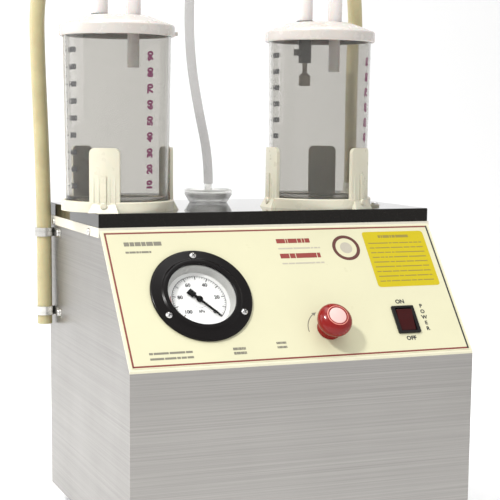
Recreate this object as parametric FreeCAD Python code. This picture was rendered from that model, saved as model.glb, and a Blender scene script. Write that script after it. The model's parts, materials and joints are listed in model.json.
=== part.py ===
import FreeCAD
import Part

import math
import os

# A bench-top suction pump with two collecting jars: a stainless cabinet with a sloping control
# panel, a glossy deck board carrying the jars in their holders, and a motor-driven vane pump inside.
# Millimetres, +X to the operator's right, +Y away from the operator, +Z up.
# The origin lies on the standing surface, under the middle of the whole object.

# --- cabinet -------------------------------------------------------------------------------------
CAB_W = 380.0
CAB_D = 320.0
CAB_X = 10.0
CAB_Y = 0.0
FOOT_H = 20.0
CREASE_Z = 210.0
PANEL_RUN = 104.0
PANEL_RISE = 128.0
SHEET = 1.2
PANEL_T = 1.5
OVERLAY_T = 0.4
RETURN_W = 14.0
FRAME_T = 2.5
SKIRT_H = 10.0
BOARD_T = 14.5
BOARD_LIP = 0.5

LEFT_X = CAB_X - CAB_W / 2
RIGHT_X = CAB_X + CAB_W / 2
FRONT_Y = CAB_Y - CAB_D / 2
REAR_Y = CAB_Y + CAB_D / 2
PANEL_TOP_Z = CREASE_Z + PANEL_RISE
PANEL_TOP_Y = FRONT_Y + PANEL_RUN
BOARD_Z = PANEL_TOP_Z + FRAME_T
DECK_Z = BOARD_Z + BOARD_T
SLOPE = math.atan2(PANEL_RISE, PANEL_RUN)
SLOPE_LENGTH = math.hypot(PANEL_RUN, PANEL_RISE)
PANEL_DROP = PANEL_T / math.cos(SLOPE)

# --- jars, lids and holders ----------------------------------------------------------------------
JAR_Y = CAB_Y + 8.0
JAR_LEFT_X = CAB_X - 152.0
JAR_RIGHT_X = CAB_X + 83.0
HOLDER_R = 60.0
HOLDER_BASE = 4.0
HOLDER_SINK = 1.6
LUG_ANGLE = -16.0
LUG_R = 66.0
LUG_T = 2.2
HOLDER_RING_H = 11.0
PRONG_IN = 56.0
PRONG_T = 3.4
PRONG_ARC = 31.5
PRONG_TOP = 66.5
PRONG_ANGLES = {"left": (0.0, 120.0, 240.0), "right": (60.0, 180.0, 300.0)}
JAR_FOOT_R = 54.5
JAR_TOP_R = 57.0
JAR_WALL = 2.5
JAR_FLOOR = 4.0
JAR_Z = DECK_Z + HOLDER_BASE + 0.3
JAR_RIM_Z = 543.5
SKIRT_Z = 537.0
SEAL_T = 2.0
LID_R = 61.0
LID_IN_R = 57.6
LID_RIM_Z = 549.5
LID_TOP_Z = 558.5
PORT_X = 18.0
PORT_R = 8.0
COLLAR_Z = 596.0
NOZZLE_Z = 611.0
NOZZLE_R = 4.5
PORT_BORE = 3.0
STUB_R = 6.3
CAGE_Z = 516.0
STUB_Z = 505.0
PORT_HOLE_R = 6.4

# --- bacterial filter and hoses ------------------------------------------------------------------
FILTER_X = CAB_X - 13.0
FILTER_Y = CAB_Y + 105.0
FILTER_FOOT_R = 22.0
FILTER_RIM_R = 28.0
FILTER_H = 15.5
FILTER_NOZZLE_Z = 377.0
HOSE_R = 8.5
HOSE_NOZZLE_X = CAB_X + 165.0
HOSE_NOZZLE_Y = CAB_Y + 86.0
HOSE_NOZZLE_Z = 376.0
HOSE_END_Z = 216.0
CLIP_X = CAB_X - 201.5
CLIP_Y = CAB_Y + 139.0
CLIP_ZS = (322.0, 231.0)
CLIP_H = 10.0
TUBE_R = 5.5
INNER_TUBE_R = 4.5

# --- panel fittings: each place is measured up the slope from the crease -------------------------
GAUGE_X = CAB_X - 98.5
GAUGE_S = 82.0
GAUGE_R = 54.0
GAUGE_SIGHT_R = 36.0
GAUGE_CASE_R = 39.0
GAUGE_DEPTH = 38.0
DIAL_DROP = 8.0
GAUGE_BOLT_R = 46.5
POINTER_ANGLE = -47.0
KNOB_X = CAB_X + 31.0
KNOB_S = 35.5
KNOB_R = 18.5
KNOB_H = 28.0
KNOB_FLAT_R = 10.6
KNOB_WAIST = 18.5
KNOB_NECK_R = 12.0
SWITCH_X = CAB_X + 122.8
SWITCH_S = 42.0
SWITCH_W = 26.0
SWITCH_L = 33.0
ROCKER_W = 18.0
ROCKER_L = 26.0
ROCKER_TRAVEL = 16.0
PIVOT_Z = -3.0

# --- motor and pump ------------------------------------------------------------------------------
UNIT_Y = CAB_Y + 30.0
UNIT_Z = 112.0
SHAFT_R = 7.0
MOTOR_X0 = CAB_X - 128.0
MOTOR_L = 124.0
MOTOR_R = 60.0
STATOR_IN_R = 31.0
ROTOR_R = 30.0
PUMP_X0 = MOTOR_X0 + MOTOR_L + 12.0
PUMP_L = 64.0
PUMP_R = 52.0
PUMP_BORE_R = 35.0
PUMP_OFFSET = 5.0
PUMP_ROTOR_R = 28.6
PUMP_COVER_T = 8.0
EXHAUST_X = 16.0
EXHAUST_Y = 18.0
VANE_COUNT = 4
MOUNT_H = 20.0
UNIT_PLATE_T = 3.0

# --- fasteners and mains inlet -------------------------------------------------------------------
SCREW_R = 2.0
HEAD_R = 3.8
HEAD_H = 2.2
FIT = 0.05
INLET_X = CAB_X + 130.0
INLET_Z = 80.0
INLET_W = 50.0
INLET_H = 46.0

X_AXIS = FreeCAD.Vector(1, 0, 0)
Y_AXIS = FreeCAD.Vector(0, 1, 0)
Z_AXIS = FreeCAD.Vector(0, 0, 1)


def vec(x, y, z):
    return FreeCAD.Vector(x, y, z)


def rod(radius, height, x, y, z, axis=Z_AXIS):
    return Part.makeCylinder(radius, height, vec(x, y, z), axis)


def ring(outer, inner, height, x, y, z, axis=Z_AXIS):
    hollow = rod(inner, height, x, y, z, axis)
    return rod(outer, height, x, y, z, axis).cut(hollow)


def slab(width, depth, height, x, y, z):
    """A block centred on x and y that stands on z."""
    return Part.makeBox(width, depth, height, vec(x - width / 2, y - depth / 2, z))


def joined(shapes):
    whole = shapes[0].multiFuse(shapes[1:])
    return whole.removeSplitter()


def lathe(outline, x=0.0, y=0.0):
    """Turn an outline of (radius, height) points about the upright line through x and y."""
    points = [vec(x + radius, y, height) for radius, height in outline]
    face = Part.Face(Part.makePolygon(points + points[:1]))
    return face.revolve(vec(x, y, 0), Z_AXIS, 360)


def side_profile(outline, x0, x1):
    """Carry a (y, z) outline along X from x0 to x1."""
    points = [vec(x0, y, z) for y, z in outline]
    face = Part.Face(Part.makePolygon(points + points[:1]))
    return face.extrude(vec(x1 - x0, 0, 0))


def on_panel(shape, x, s):
    """Put a shape, drawn about the origin with +Z outward, on the overlay's face."""
    placed = shape.copy()
    placed.rotate(vec(0, 0, 0), X_AXIS, math.degrees(SLOPE))
    y = FRONT_Y + s * math.cos(SLOPE) - OVERLAY_T * math.sin(SLOPE)
    z = CREASE_Z + s * math.sin(SLOPE) + OVERLAY_T * math.cos(SLOPE)
    placed.translate(vec(x, y, z))
    return placed


def panel_point(x, s, lift):
    """The place that lies lift above the overlay's face, s up the slope."""
    y = FRONT_Y + s * math.cos(SLOPE) - (OVERLAY_T + lift) * math.sin(SLOPE)
    z = CREASE_Z + s * math.sin(SLOPE) + (OVERLAY_T + lift) * math.cos(SLOPE)
    return x, y, z


def arc_path(name, points, radius):
    """Straight runs joined by tangent arcs, each as large as its two runs allow."""
    corners = [vec(*point) for point in points]
    edges = []
    start = corners[0]
    radii = []
    for before, corner, after in zip(corners, corners[1:], corners[2:]):
        into = corner - before
        out = after - corner
        turn = into.getAngle(out)
        cut = 0.45 * min(into.Length, out.Length)
        radii.append(cut / math.tan(turn / 2))
        first = corner - into.normalize() * cut
        last = corner + out.normalize() * cut
        chord = (last - first) * 0.5
        middle = first + chord
        sag = radii[-1] * (1 - math.cos(turn / 2))
        towards = (corner - middle).normalize()
        edges.append(Part.LineSegment(start, first).toShape())
        edges.append(Part.Arc(first, middle + towards * sag, last).toShape())
        start = last
    edges.append(Part.LineSegment(start, corners[-1]).toShape())
    path = Part.Wire(edges)
    print(name, "length", round(path.Length, 1), "least radius", round(min(radii), 1),
          "in diameters", round(min(radii) / (2 * radius), 2))
    return path


def tube_along(name, points, radius):
    """A round tube, drawn solid, along a route of straight runs and arcs."""
    path = arc_path(name, points, radius)
    ahead = (vec(*points[1]) - vec(*points[0])).normalize()
    circle = Part.Wire(Part.makeCircle(radius, vec(*points[0]), ahead))
    solid = path.makePipeShell([circle], True, False)
    expected = math.pi * radius ** 2 * path.Length
    print(name, "volume over section times length", round(solid.Volume / expected, 4))
    return solid


def screw(x, y, z, axis, length=8.0):
    """A pan-head screw whose head sits on the point and whose shank goes against axis."""
    head = Part.makeCylinder(HEAD_R, HEAD_H, vec(x, y, z), axis)
    head = head.makeFillet(1.0, [head.Edges[0]])
    shank = Part.makeCylinder(SCREW_R, length, vec(x, y, z) - axis * length, axis)
    return head.fuse(shank)


# --- cabinet pieces ------------------------------------------------------------------------------
def cabinet_outline(inset):
    """The side view of the cabinet behind the control panel, drawn in by inset."""
    low = FOOT_H + inset
    top = PANEL_TOP_Z - inset
    front = FRONT_Y + inset
    crease = CREASE_Z - PANEL_DROP - inset / math.cos(SLOPE) + inset * math.tan(SLOPE)
    slope_top = front + (top - crease) / math.tan(SLOPE)
    return [(front, low), (front, crease), (slope_top, top), (REAR_Y - inset, top), (REAR_Y - inset, low)]


def frame_screw_points():
    """The four screws that hold the deck frame's skirts to the cabinet's sides."""
    z = PANEL_TOP_Z - SKIRT_H / 2 + FRAME_T / 2
    ys = (PANEL_TOP_Y + 36.0, REAR_Y - 30.0)
    left = [(LEFT_X - SHEET, y, z, X_AXIS * -1) for y in ys]
    right = [(RIGHT_X + SHEET, y, z, X_AXIS) for y in ys]
    return left + right


def clip_screw_points():
    return [(LEFT_X - SHEET, CLIP_Y - 26.0, z, X_AXIS * -1) for z in CLIP_ZS]


def rear_screw_points():
    xs = (LEFT_X + 8.0, CAB_X, RIGHT_X - 8.0)
    zs = (FOOT_H + 8.0, PANEL_TOP_Z - 12.0)
    return [(x, REAR_Y + SHEET, z, Y_AXIS) for x in xs for z in zs]


def foot_points():
    across, along = CAB_W / 2 - 32.0, CAB_D / 2 - 30.0
    return [(CAB_X + i * across, CAB_Y + j * along) for i in (-1, 1) for j in (-1, 1)]


def foot_screw_points():
    return [(x, y, FOOT_H + SHEET + PANEL_T, Z_AXIS) for x, y in foot_points()]


def inlet_screw_points():
    return [(INLET_X + i * 20.0, REAR_Y + SHEET + 2.5, INLET_Z - 8.0, Y_AXIS) for i in (-1, 1)]


def screw_holes(points):
    reach = 30.0
    holes = []
    for x, y, z, axis in points:
        holes.append(Part.makeCylinder(SCREW_R + FIT, reach, vec(x, y, z) - axis * (reach - 1.0), axis))
    return Part.makeCompound(holes)


def make_machine_screws():
    points = frame_screw_points() + clip_screw_points() + rear_screw_points()
    points += foot_screw_points() + inlet_screw_points() + holder_screw_points()
    return Part.makeCompound([screw(*point) for point in points])


def make_cabinet_shell():
    outer = side_profile(cabinet_outline(0.0), LEFT_X, RIGHT_X)
    inner = side_profile(cabinet_outline(SHEET), LEFT_X + SHEET, RIGHT_X - SHEET)
    shell = outer.cut(inner)
    inside_w = CAB_W - 2 * RETURN_W
    top_w = REAR_Y - PANEL_TOP_Y - 2 * RETURN_W
    top = slab(inside_w, top_w, 4 * SHEET, CAB_X, (REAR_Y + PANEL_TOP_Y) / 2, PANEL_TOP_Z - 2 * SHEET)
    floor = slab(inside_w, CAB_D - 2 * RETURN_W, 4 * SHEET, CAB_X, CAB_Y, FOOT_H - 2 * SHEET)
    back_h = PANEL_TOP_Z - FOOT_H - 2 * RETURN_W
    back = slab(inside_w, 4 * SHEET, back_h, CAB_X, REAR_Y, FOOT_H + RETURN_W)
    window = slab(inside_w, SLOPE_LENGTH - 2 * RETURN_W, 12.0, 0.0, 0.0, -8.0)
    window = on_panel(window, CAB_X, SLOPE_LENGTH / 2)
    holes = screw_holes(frame_screw_points() + clip_screw_points() + rear_screw_points())
    return shell.cut(Part.makeCompound([top, floor, back, window])).cut(holes)


def make_base_plate():
    width = CAB_W - 2 * SHEET - 0.6
    depth = CAB_D - 2 * SHEET - 0.6
    z = FOOT_H + SHEET
    tray = slab(width, depth, 18.0, CAB_X, CAB_Y, z)
    hollow = slab(width - 2 * PANEL_T, depth - 2 * PANEL_T, 18.0, CAB_X, CAB_Y, z + PANEL_T)
    holes = [rod(SCREW_R + FIT, 10.0, x, y, FOOT_H - 1.0) for x, y in foot_points()]
    vents = [slab(60.0, 5.0, 10.0, CAB_X + 105.0, CAB_Y - 60.0 + 14.0 * i, FOOT_H - 1.0) for i in range(6)]
    return tray.cut(hollow).cut(Part.makeCompound(holes + vents)).cut(screw_holes(rear_screw_points()))


def panel_cutouts(gauge_radius, knob_radius, switch_margin):
    """The three holes through the panel and the overlay."""
    gauge = on_panel(rod(gauge_radius, 12.0, 0, 0, -8.0), GAUGE_X, GAUGE_S)
    knob = on_panel(rod(knob_radius, 12.0, 0, 0, -8.0), KNOB_X, KNOB_S)
    width = SWITCH_W - 4.0 + switch_margin
    length = SWITCH_L - 4.0 + switch_margin
    switch = on_panel(slab(width, length, 12.0, 0, 0, -8.0), SWITCH_X, SWITCH_S)
    return Part.makeCompound([gauge, knob, switch])


def make_control_panel():
    back_top = PANEL_TOP_Y + PANEL_T / math.sin(SLOPE)
    outline = [
        (FRONT_Y, CREASE_Z),
        (PANEL_TOP_Y, PANEL_TOP_Z),
        (back_top, PANEL_TOP_Z),
        (FRONT_Y, CREASE_Z - PANEL_DROP),
    ]
    plate = side_profile(outline, LEFT_X, RIGHT_X)
    screws = []
    for x, y in gauge_bolt_points():
        screws.append(on_panel(rod(SCREW_R + FIT, 12.0, x, y, -8.0), GAUGE_X, GAUGE_S))
    return plate.cut(panel_cutouts(GAUGE_CASE_R + 0.5, 5.2, 0.3)).cut(Part.makeCompound(screws))


def make_panel_overlay():
    margin = 2.2
    sheet = slab(CAB_W - 2 * margin, SLOPE_LENGTH - 2 * margin, OVERLAY_T, 0, 0, -OVERLAY_T)
    sheet = on_panel(sheet, CAB_X, SLOPE_LENGTH / 2)
    screws = []
    for x, y in gauge_bolt_points():
        screws.append(on_panel(rod(SCREW_R + FIT, 12.0, x, y, -8.0), GAUGE_X, GAUGE_S))
    return sheet.cut(panel_cutouts(GAUGE_CASE_R + 0.8, 5.6, 0.6)).cut(Part.makeCompound(screws))


def deck_holes():
    filter_hole = rod(8.2, 60.0, FILTER_X, FILTER_Y, DECK_Z - 50.0)
    hose_hole = rod(6.2, 60.0, HOSE_NOZZLE_X, HOSE_NOZZLE_Y, DECK_Z - 50.0)
    screws = [rod(SCREW_R + FIT, 8.0, x, y, DECK_Z - 7.0) for x, y, z, axis in holder_screw_points()]
    return Part.makeCompound([filter_hole, hose_hole] + screws)


def make_deck_frame():
    """The cabinet's top sheet, folded down outside both sides."""
    depth = REAR_Y - PANEL_TOP_Y
    middle = (REAR_Y + PANEL_TOP_Y) / 2
    top = slab(CAB_W + 2 * SHEET, depth, FRAME_T, CAB_X, middle, PANEL_TOP_Z)
    skirts = []
    for x in (LEFT_X - SHEET / 2, RIGHT_X + SHEET / 2):
        skirts.append(slab(SHEET, depth, SKIRT_H, x, middle, BOARD_Z - SKIRT_H))
    frame = joined([top] + skirts)
    return frame.cut(screw_holes(frame_screw_points())).cut(deck_holes())


def make_deck_board():
    front = PANEL_TOP_Y + 1.5
    back = REAR_Y + 1.0
    board = slab(CAB_W + 2 * BOARD_LIP, back - front, BOARD_T, CAB_X, (front + back) / 2, BOARD_Z)
    rims = [edge for edge in board.Edges if min(v.Z for v in edge.Vertexes) > DECK_Z - 0.1]
    corners = [edge for edge in board.Edges if abs(edge.tangentAt(edge.FirstParameter).z) > 0.9]
    board = board.makeFillet(1.2, rims + corners)
    return board.cut(deck_holes())


def make_rear_cover():
    height = PANEL_TOP_Z - FOOT_H - 4.0
    z = FOOT_H + 2.0
    cover = slab(CAB_W - 4.0, SHEET, height, CAB_X, REAR_Y + SHEET / 2, z)
    slots = []
    for x in (CAB_X - 100.0, CAB_X - 10.0):
        for row in range(9):
            slots.append(slab(70.0, 6.0, 4.0, x, REAR_Y, z + 40.0 + 13.0 * row))
    opening = slab(INLET_W - 6.0, 8.0, INLET_H - 6.0, INLET_X, REAR_Y, INLET_Z - (INLET_H - 6.0) / 2)
    holes = screw_holes(rear_screw_points() + inlet_screw_points())
    return cover.cut(Part.makeCompound(slots + [opening])).cut(holes)


def make_rubber_feet():
    feet = []
    for x, y in foot_points():
        foot = lathe([(0.0, 0.0), (11.0, 0.0), (15.0, 2.5), (17.0, FOOT_H), (0.0, FOOT_H)], x, y)
        feet.append(foot.cut(rod(SCREW_R + FIT, 12.0, x, y, FOOT_H - 10.0)))
    return Part.makeCompound(feet)


# --- jars ----------------------------------------------------------------------------------------
def holder_screw_points():
    """Two screws sunk in each holder's base, and one on the right holder's lug."""
    spread = 28.0
    sunk = [(x, JAR_Y + side * spread) for x in (JAR_LEFT_X, JAR_RIGHT_X) for side in (-1, 1)]
    lug_x, lug_y = lug_point()
    points = [(x, y, DECK_Z + HOLDER_SINK, Z_AXIS) for x, y in sunk]
    return points + [(lug_x, lug_y, DECK_Z + LUG_T, Z_AXIS)]


def lug_point():
    turn = math.radians(LUG_ANGLE)
    return JAR_RIGHT_X + LUG_R * math.cos(turn), JAR_Y + LUG_R * math.sin(turn)


def make_prong(x, angle):
    """An upright finger with rounded top corners, a central rib and a flared foot."""
    outer = PRONG_IN + PRONG_T
    width = 2 * outer * math.sin(math.radians(PRONG_ARC / 2))
    wall = ring(outer, PRONG_IN, PRONG_TOP - HOLDER_BASE, 0, 0, DECK_Z + HOLDER_BASE)
    mask = slab(outer, width, PRONG_TOP, outer - 2.0, 0, DECK_Z)
    tops = [edge for edge in mask.Edges if edge_is_top_side(edge, DECK_Z + PRONG_TOP)]
    mask = mask.makeFillet(6.0, tops)
    rib = slab(2.4, 5.0, 34.0, outer + 0.2, 0, DECK_Z + HOLDER_BASE)
    rib = rib.makeFillet(1.0, [edge for edge in rib.Edges if edge_is_top_side(edge, rib.BoundBox.ZMax)])
    half = width / 2
    foot = side_profile([(-half, 0), (half, 0), (half - 4.0, 9.0), (4.0 - half, 9.0)], 0, 6.5)
    foot.translate(vec(HOLDER_R - 3.0, 0, DECK_Z))
    slope = side_profile([(-width, 0), (width, 0), (width, 20.0), (-width, 20.0)], 0, 12.0)
    slope.rotate(vec(0, 0, 0), Y_AXIS, -24.0)
    slope.translate(vec(HOLDER_R + 3.5, 0, DECK_Z))
    boss = rod(3.6, 4.4, outer - 1.0, 0, DECK_Z + 7.0, X_AXIS)
    boss = boss.makeFillet(1.2, [edge for edge in boss.Edges if edge.BoundBox.XMin > outer + 3.0])
    finger = wall.common(mask).multiFuse([rib, foot.cut(slope), boss])
    finger.rotate(vec(0, 0, 0), Z_AXIS, angle)
    finger.translate(vec(x, JAR_Y, 0))
    return finger


def edge_is_top_side(edge, top):
    """True for an edge that runs along X at the given height."""
    along_x = abs(edge.tangentAt(edge.FirstParameter).x) > 0.9
    return along_x and abs(edge.Vertexes[0].Z - top) < 0.01


def make_holder(x, side):
    """The cradle: base disc, low ring and three fingers."""
    inner = PRONG_IN
    cup = lathe([
        (0.0, DECK_Z),
        (HOLDER_R, DECK_Z),
        (HOLDER_R, DECK_Z + HOLDER_RING_H - 1.0),
        (HOLDER_R - 1.0, DECK_Z + HOLDER_RING_H),
        (inner, DECK_Z + HOLDER_RING_H),
        (inner, DECK_Z + HOLDER_BASE),
        (0.0, DECK_Z + HOLDER_BASE),
    ], x, JAR_Y)
    pieces = [make_prong(x, angle) for angle in PRONG_ANGLES[side]]
    if side == "right":
        pieces.append(make_lug())
    holder = cup.multiFuse(pieces)
    cuts = [rod(inner, PRONG_TOP, x, JAR_Y, DECK_Z + HOLDER_BASE)]
    for screw_x, screw_y, seat, axis in holder_screw_points():
        cuts.append(rod(SCREW_R + FIT, 20.0, screw_x, screw_y, DECK_Z - 5.0))
        cuts.append(rod(HEAD_R + 0.3, 5.0, screw_x, screw_y, seat))
    return holder.cut(Part.makeCompound(cuts))


def make_lug():
    """The low tongue beside the right holder that takes a screw."""
    reach = LUG_R - HOLDER_R + 4.0
    tongue = slab(reach, 11.0, LUG_T, HOLDER_R - 2.0 + reach / 2, 0, DECK_Z)
    lug = tongue.fuse(rod(5.5, LUG_T, LUG_R, 0, DECK_Z))
    lug.rotate(vec(0, 0, 0), Z_AXIS, LUG_ANGLE)
    lug.translate(vec(JAR_RIGHT_X, JAR_Y, 0))
    return lug


def jar_radius(z):
    share = (z - JAR_Z) / (JAR_RIM_Z - JAR_Z)
    return JAR_FOOT_R + share * (JAR_TOP_R - JAR_FOOT_R)


def make_jar(x):
    """A clear, slightly tapered jar with a rounded heel and an open mouth."""
    heel = 4.0
    floor = JAR_Z + JAR_FLOOR
    outline = [
        (0.0, JAR_Z),
        (JAR_FOOT_R - heel, JAR_Z),
        (JAR_FOOT_R - heel * 0.3, JAR_Z + heel * 0.3),
        (jar_radius(JAR_Z + heel), JAR_Z + heel),
        (JAR_TOP_R, JAR_RIM_Z),
        (JAR_TOP_R - JAR_WALL, JAR_RIM_Z),
        (jar_radius(floor + heel) - JAR_WALL, floor + heel),
        (jar_radius(floor) - JAR_WALL - heel * 0.8, floor),
        (0.0, floor),
    ]
    return lathe(outline, x, JAR_Y)


def port_points(x):
    """The two ports of a lid, left one first."""
    return [(x - PORT_X, JAR_Y), (x + PORT_X, JAR_Y)]


def make_lid(x):
    """A push-on lid: a skirt over the rim, a shallow cone and a flat middle with two ports."""
    under = JAR_RIM_Z + SEAL_T
    outline = [
        (0.0, under),
        (LID_IN_R, under),
        (LID_IN_R, SKIRT_Z),
        (LID_R - 1.0, SKIRT_Z),
        (LID_R, SKIRT_Z + 1.0),
        (LID_R, LID_RIM_Z - 2.0),
        (LID_R - 1.2, LID_RIM_Z - 0.4),
        (LID_R - 5.0, LID_RIM_Z),
        (36.0, LID_TOP_Z - 0.8),
        (33.0, LID_TOP_Z),
        (0.0, LID_TOP_Z),
    ]
    holes = [rod(PORT_HOLE_R, 40.0, px, py, SKIRT_Z) for px, py in port_points(x)]
    tab = slab(7.0, 12.0, 4.0, x + LID_R + 1.5, JAR_Y, SKIRT_Z + 2.0)
    lid = lathe(outline, x, JAR_Y).cut(Part.makeCompound(holes))
    return lid.fuse(tab)


def make_seal(x):
    return ring(JAR_TOP_R + 0.3, JAR_TOP_R - JAR_WALL - 1.0, SEAL_T, x, JAR_Y, JAR_RIM_Z)


def make_connector(x, y, foot_z):
    """A hose connector: collar and nozzle above the lid, a stub below it, bored right through."""
    outline = [
        (PORT_BORE, foot_z),
        (STUB_R, foot_z),
        (STUB_R, LID_TOP_Z),
        (PORT_R + 1.8, LID_TOP_Z),
        (PORT_R + 1.8, LID_TOP_Z + 1.6),
        (PORT_R, LID_TOP_Z + 1.6),
        (PORT_R, COLLAR_Z - 2.0),
        (PORT_R - 2.0, COLLAR_Z),
        (NOZZLE_R, COLLAR_Z),
        (NOZZLE_R, NOZZLE_Z - 0.8),
        (NOZZLE_R - 0.8, NOZZLE_Z),
        (PORT_BORE, NOZZLE_Z),
    ]
    return lathe(outline, x, y)


def make_connectors(x, outlet_foot):
    (left_x, left_y), (right_x, right_y) = port_points(x)
    outlet = make_connector(left_x, left_y, outlet_foot)
    inlet = make_connector(right_x, right_y, STUB_Z)
    return Part.makeCompound([outlet, inlet])


def make_float_cage():
    """The valve cage that hangs under the right jar's outlet."""
    x, y = port_points(JAR_RIGHT_X)[0]
    top = JAR_RIM_Z + SEAL_T - 4.0
    cage = ring(7.0, 5.2, top - CAGE_Z, x, y, CAGE_Z)
    lip = ring(7.0, 3.1, 2.0, x, y, CAGE_Z - 2.0)
    clip = slab(7.0, 7.0, 7.0, x - 8.5, y, CAGE_Z + 6.0)
    bore = rod(5.2, 40.0, x, y, CAGE_Z)
    return joined([cage, lip, clip]).cut(bore)


def make_float_valve():
    """The float: a headed stem in the cage and the float body below it."""
    x, y = port_points(JAR_RIGHT_X)[0]
    return lathe([
        (0.0, CAGE_Z - 27.0),
        (5.4, CAGE_Z - 27.0),
        (6.4, CAGE_Z - 26.0),
        (6.4, CAGE_Z - 16.0),
        (2.6, CAGE_Z - 12.5),
        (2.6, CAGE_Z + 0.3),
        (4.4, CAGE_Z + 0.3),
        (4.4, CAGE_Z + 3.0),
        (0.0, CAGE_Z + 5.0),
    ], x, y)


# --- filter, hoses and their fittings ------------------------------------------------------------
def make_filter_body():
    """The lower dish of the disc filter; its spigot goes down through the deck."""
    rim_z = DECK_Z + FILTER_H - 4.0
    outline = [
        (2.5, DECK_Z - 12.0),
        (6.0, DECK_Z - 12.0),
        (6.0, DECK_Z),
        (FILTER_FOOT_R, DECK_Z),
        (FILTER_FOOT_R + 1.0, DECK_Z + 2.0),
        (FILTER_RIM_R, rim_z - 1.5),
        (FILTER_RIM_R, rim_z),
        (FILTER_RIM_R - 4.0, rim_z),
        (FILTER_FOOT_R - 4.0, DECK_Z + 3.0),
        (2.5, DECK_Z + 3.0),
    ]
    return lathe(outline, FILTER_X, FILTER_Y)


def make_filter_membrane():
    z = DECK_Z + FILTER_H - 5.0
    return rod(FILTER_RIM_R - 5.5, 0.8, FILTER_X, FILTER_Y, z)


def make_filter_cover():
    """The upper shell of the disc filter, dished around its nozzle."""
    rim_z = DECK_Z + FILTER_H - 4.0
    top_z = DECK_Z + FILTER_H
    outline = [
        (PORT_BORE - 0.4, rim_z + 0.3),
        (FILTER_RIM_R - 5.0, rim_z + 0.3),
        (FILTER_RIM_R - 5.0, rim_z),
        (FILTER_RIM_R, rim_z),
        (FILTER_RIM_R, top_z - 0.6),
        (FILTER_RIM_R - 0.8, top_z),
        (FILTER_RIM_R - 2.4, top_z),
        (FILTER_RIM_R - 4.4, rim_z + 2.0),
        (9.0, rim_z + 2.0),
        (5.6, top_z),
        (NOZZLE_R, top_z + 2.5),
        (NOZZLE_R, FILTER_NOZZLE_Z),
        (PORT_BORE - 0.4, FILTER_NOZZLE_Z),
    ]
    return lathe(outline, FILTER_X, FILTER_Y)


def make_filter_socket():
    """The bulkhead under the deck: the filter plugs in above, three hose tails leave below."""
    socket = rod(8.0, PANEL_TOP_Z - 4.0 - 306.0, FILTER_X, FILTER_Y, 306.0)
    sleeve = rod(8.0, DECK_Z - PANEL_TOP_Z + 4.0, FILTER_X, FILTER_Y, PANEL_TOP_Z - 4.0)
    block = slab(30.0, 30.0, 22.0, FILTER_X, FILTER_Y, 312.0)
    left_tail = rod(INNER_TUBE_R - 1.0, 12.0, FILTER_X - 14.0, FILTER_Y, 322.0, X_AXIS * -1)
    front_tail = rod(INNER_TUBE_R - 1.0, 12.0, FILTER_X, FILTER_Y - 14.0, 322.0, Y_AXIS * -1)
    low_tail = rod(INNER_TUBE_R - 1.0, 14.0, FILTER_X, FILTER_Y, 294.0)
    whole = joined([socket, sleeve, block, left_tail, front_tail, low_tail])
    seat = rod(6.0 + FIT, 20.0, FILTER_X, FILTER_Y, DECK_Z - 13.0)
    return whole.cut(seat)


def make_hose_nozzle():
    """The deck nozzle that the suction hose is parked on."""
    return lathe([
        (3.5, PANEL_TOP_Z - 16.0),
        (6.0, PANEL_TOP_Z - 16.0),
        (6.0, DECK_Z),
        (14.0, DECK_Z),
        (14.0, DECK_Z + 3.0),
        (10.5, DECK_Z + 4.5),
        (9.4, HOSE_NOZZLE_Z - 4.0),
        (9.4, HOSE_NOZZLE_Z),
        (3.5, HOSE_NOZZLE_Z),
    ], HOSE_NOZZLE_X, HOSE_NOZZLE_Y)


def make_hose_clips():
    """Two sheet-metal clips: a tab screwed to the cabinet's side and a band round the hose."""
    clips = []
    band_in = HOSE_R + 0.6
    band_out = band_in + SHEET
    tab_y = CLIP_Y - 22.0
    for z in CLIP_ZS:
        low = z - CLIP_H / 2
        band = ring(band_out, band_in, CLIP_H, CLIP_X, CLIP_Y, low)
        mouth = slab(12.0, 9.0, 2 * CLIP_H, CLIP_X - 8.0, CLIP_Y + 8.5, low - 1.0)
        leg = slab(SHEET, 14.0, CLIP_H, LEFT_X - SHEET / 2, CLIP_Y - 6.0, low)
        tab = slab(SHEET, 28.0, CLIP_H, LEFT_X - SHEET / 2, tab_y, low)
        clip = band.cut(mouth).multiFuse([leg, tab])
        hole = rod(SCREW_R + FIT, 8.0, LEFT_X - 6.0, CLIP_Y - 26.0, z, X_AXIS)
        inside = rod(band_in, 2 * CLIP_H, CLIP_X, CLIP_Y, low - 1.0)
        clips.append(clip.cut(hole).cut(inside).removeSplitter())
    return Part.makeCompound(clips)


def suction_hose_route():
    """From the deck nozzle up, over in one arch and down the cabinet's left side to its cut end."""
    x = CAB_X
    y = CAB_Y
    return [
        (HOSE_NOZZLE_X, HOSE_NOZZLE_Y, HOSE_NOZZLE_Z),
        (HOSE_NOZZLE_X, HOSE_NOZZLE_Y, 432.0),
        (x + 164.6, y + 86.2, 492.0),
        (x + 166.2, y + 86.8, 552.0),
        (x + 163.0, y + 88.0, 612.0),
        (x + 140.0, y + 92.0, 668.0),
        (x + 94.0, y + 99.0, 714.0),
        (x + 32.0, y + 107.0, 741.0),
        (x - 36.0, y + 115.0, 747.0),
        (x - 102.0, y + 123.0, 734.0),
        (x - 158.0, y + 130.0, 697.0),
        (x - 195.0, y + 135.0, 642.0),
        (x - 207.5, y + 138.0, 580.0),
        (x - 206.6, y + 139.0, 518.0),
        (x - 204.2, y + 139.2, 456.0),
        (x - 202.4, y + 139.0, 396.0),
        (x - 201.5, y + 139.0, 336.0),
        (x - 201.3, y + 139.1, 276.0),
        (x - 201.5, y + 139.0, HOSE_END_Z),
    ]


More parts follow.
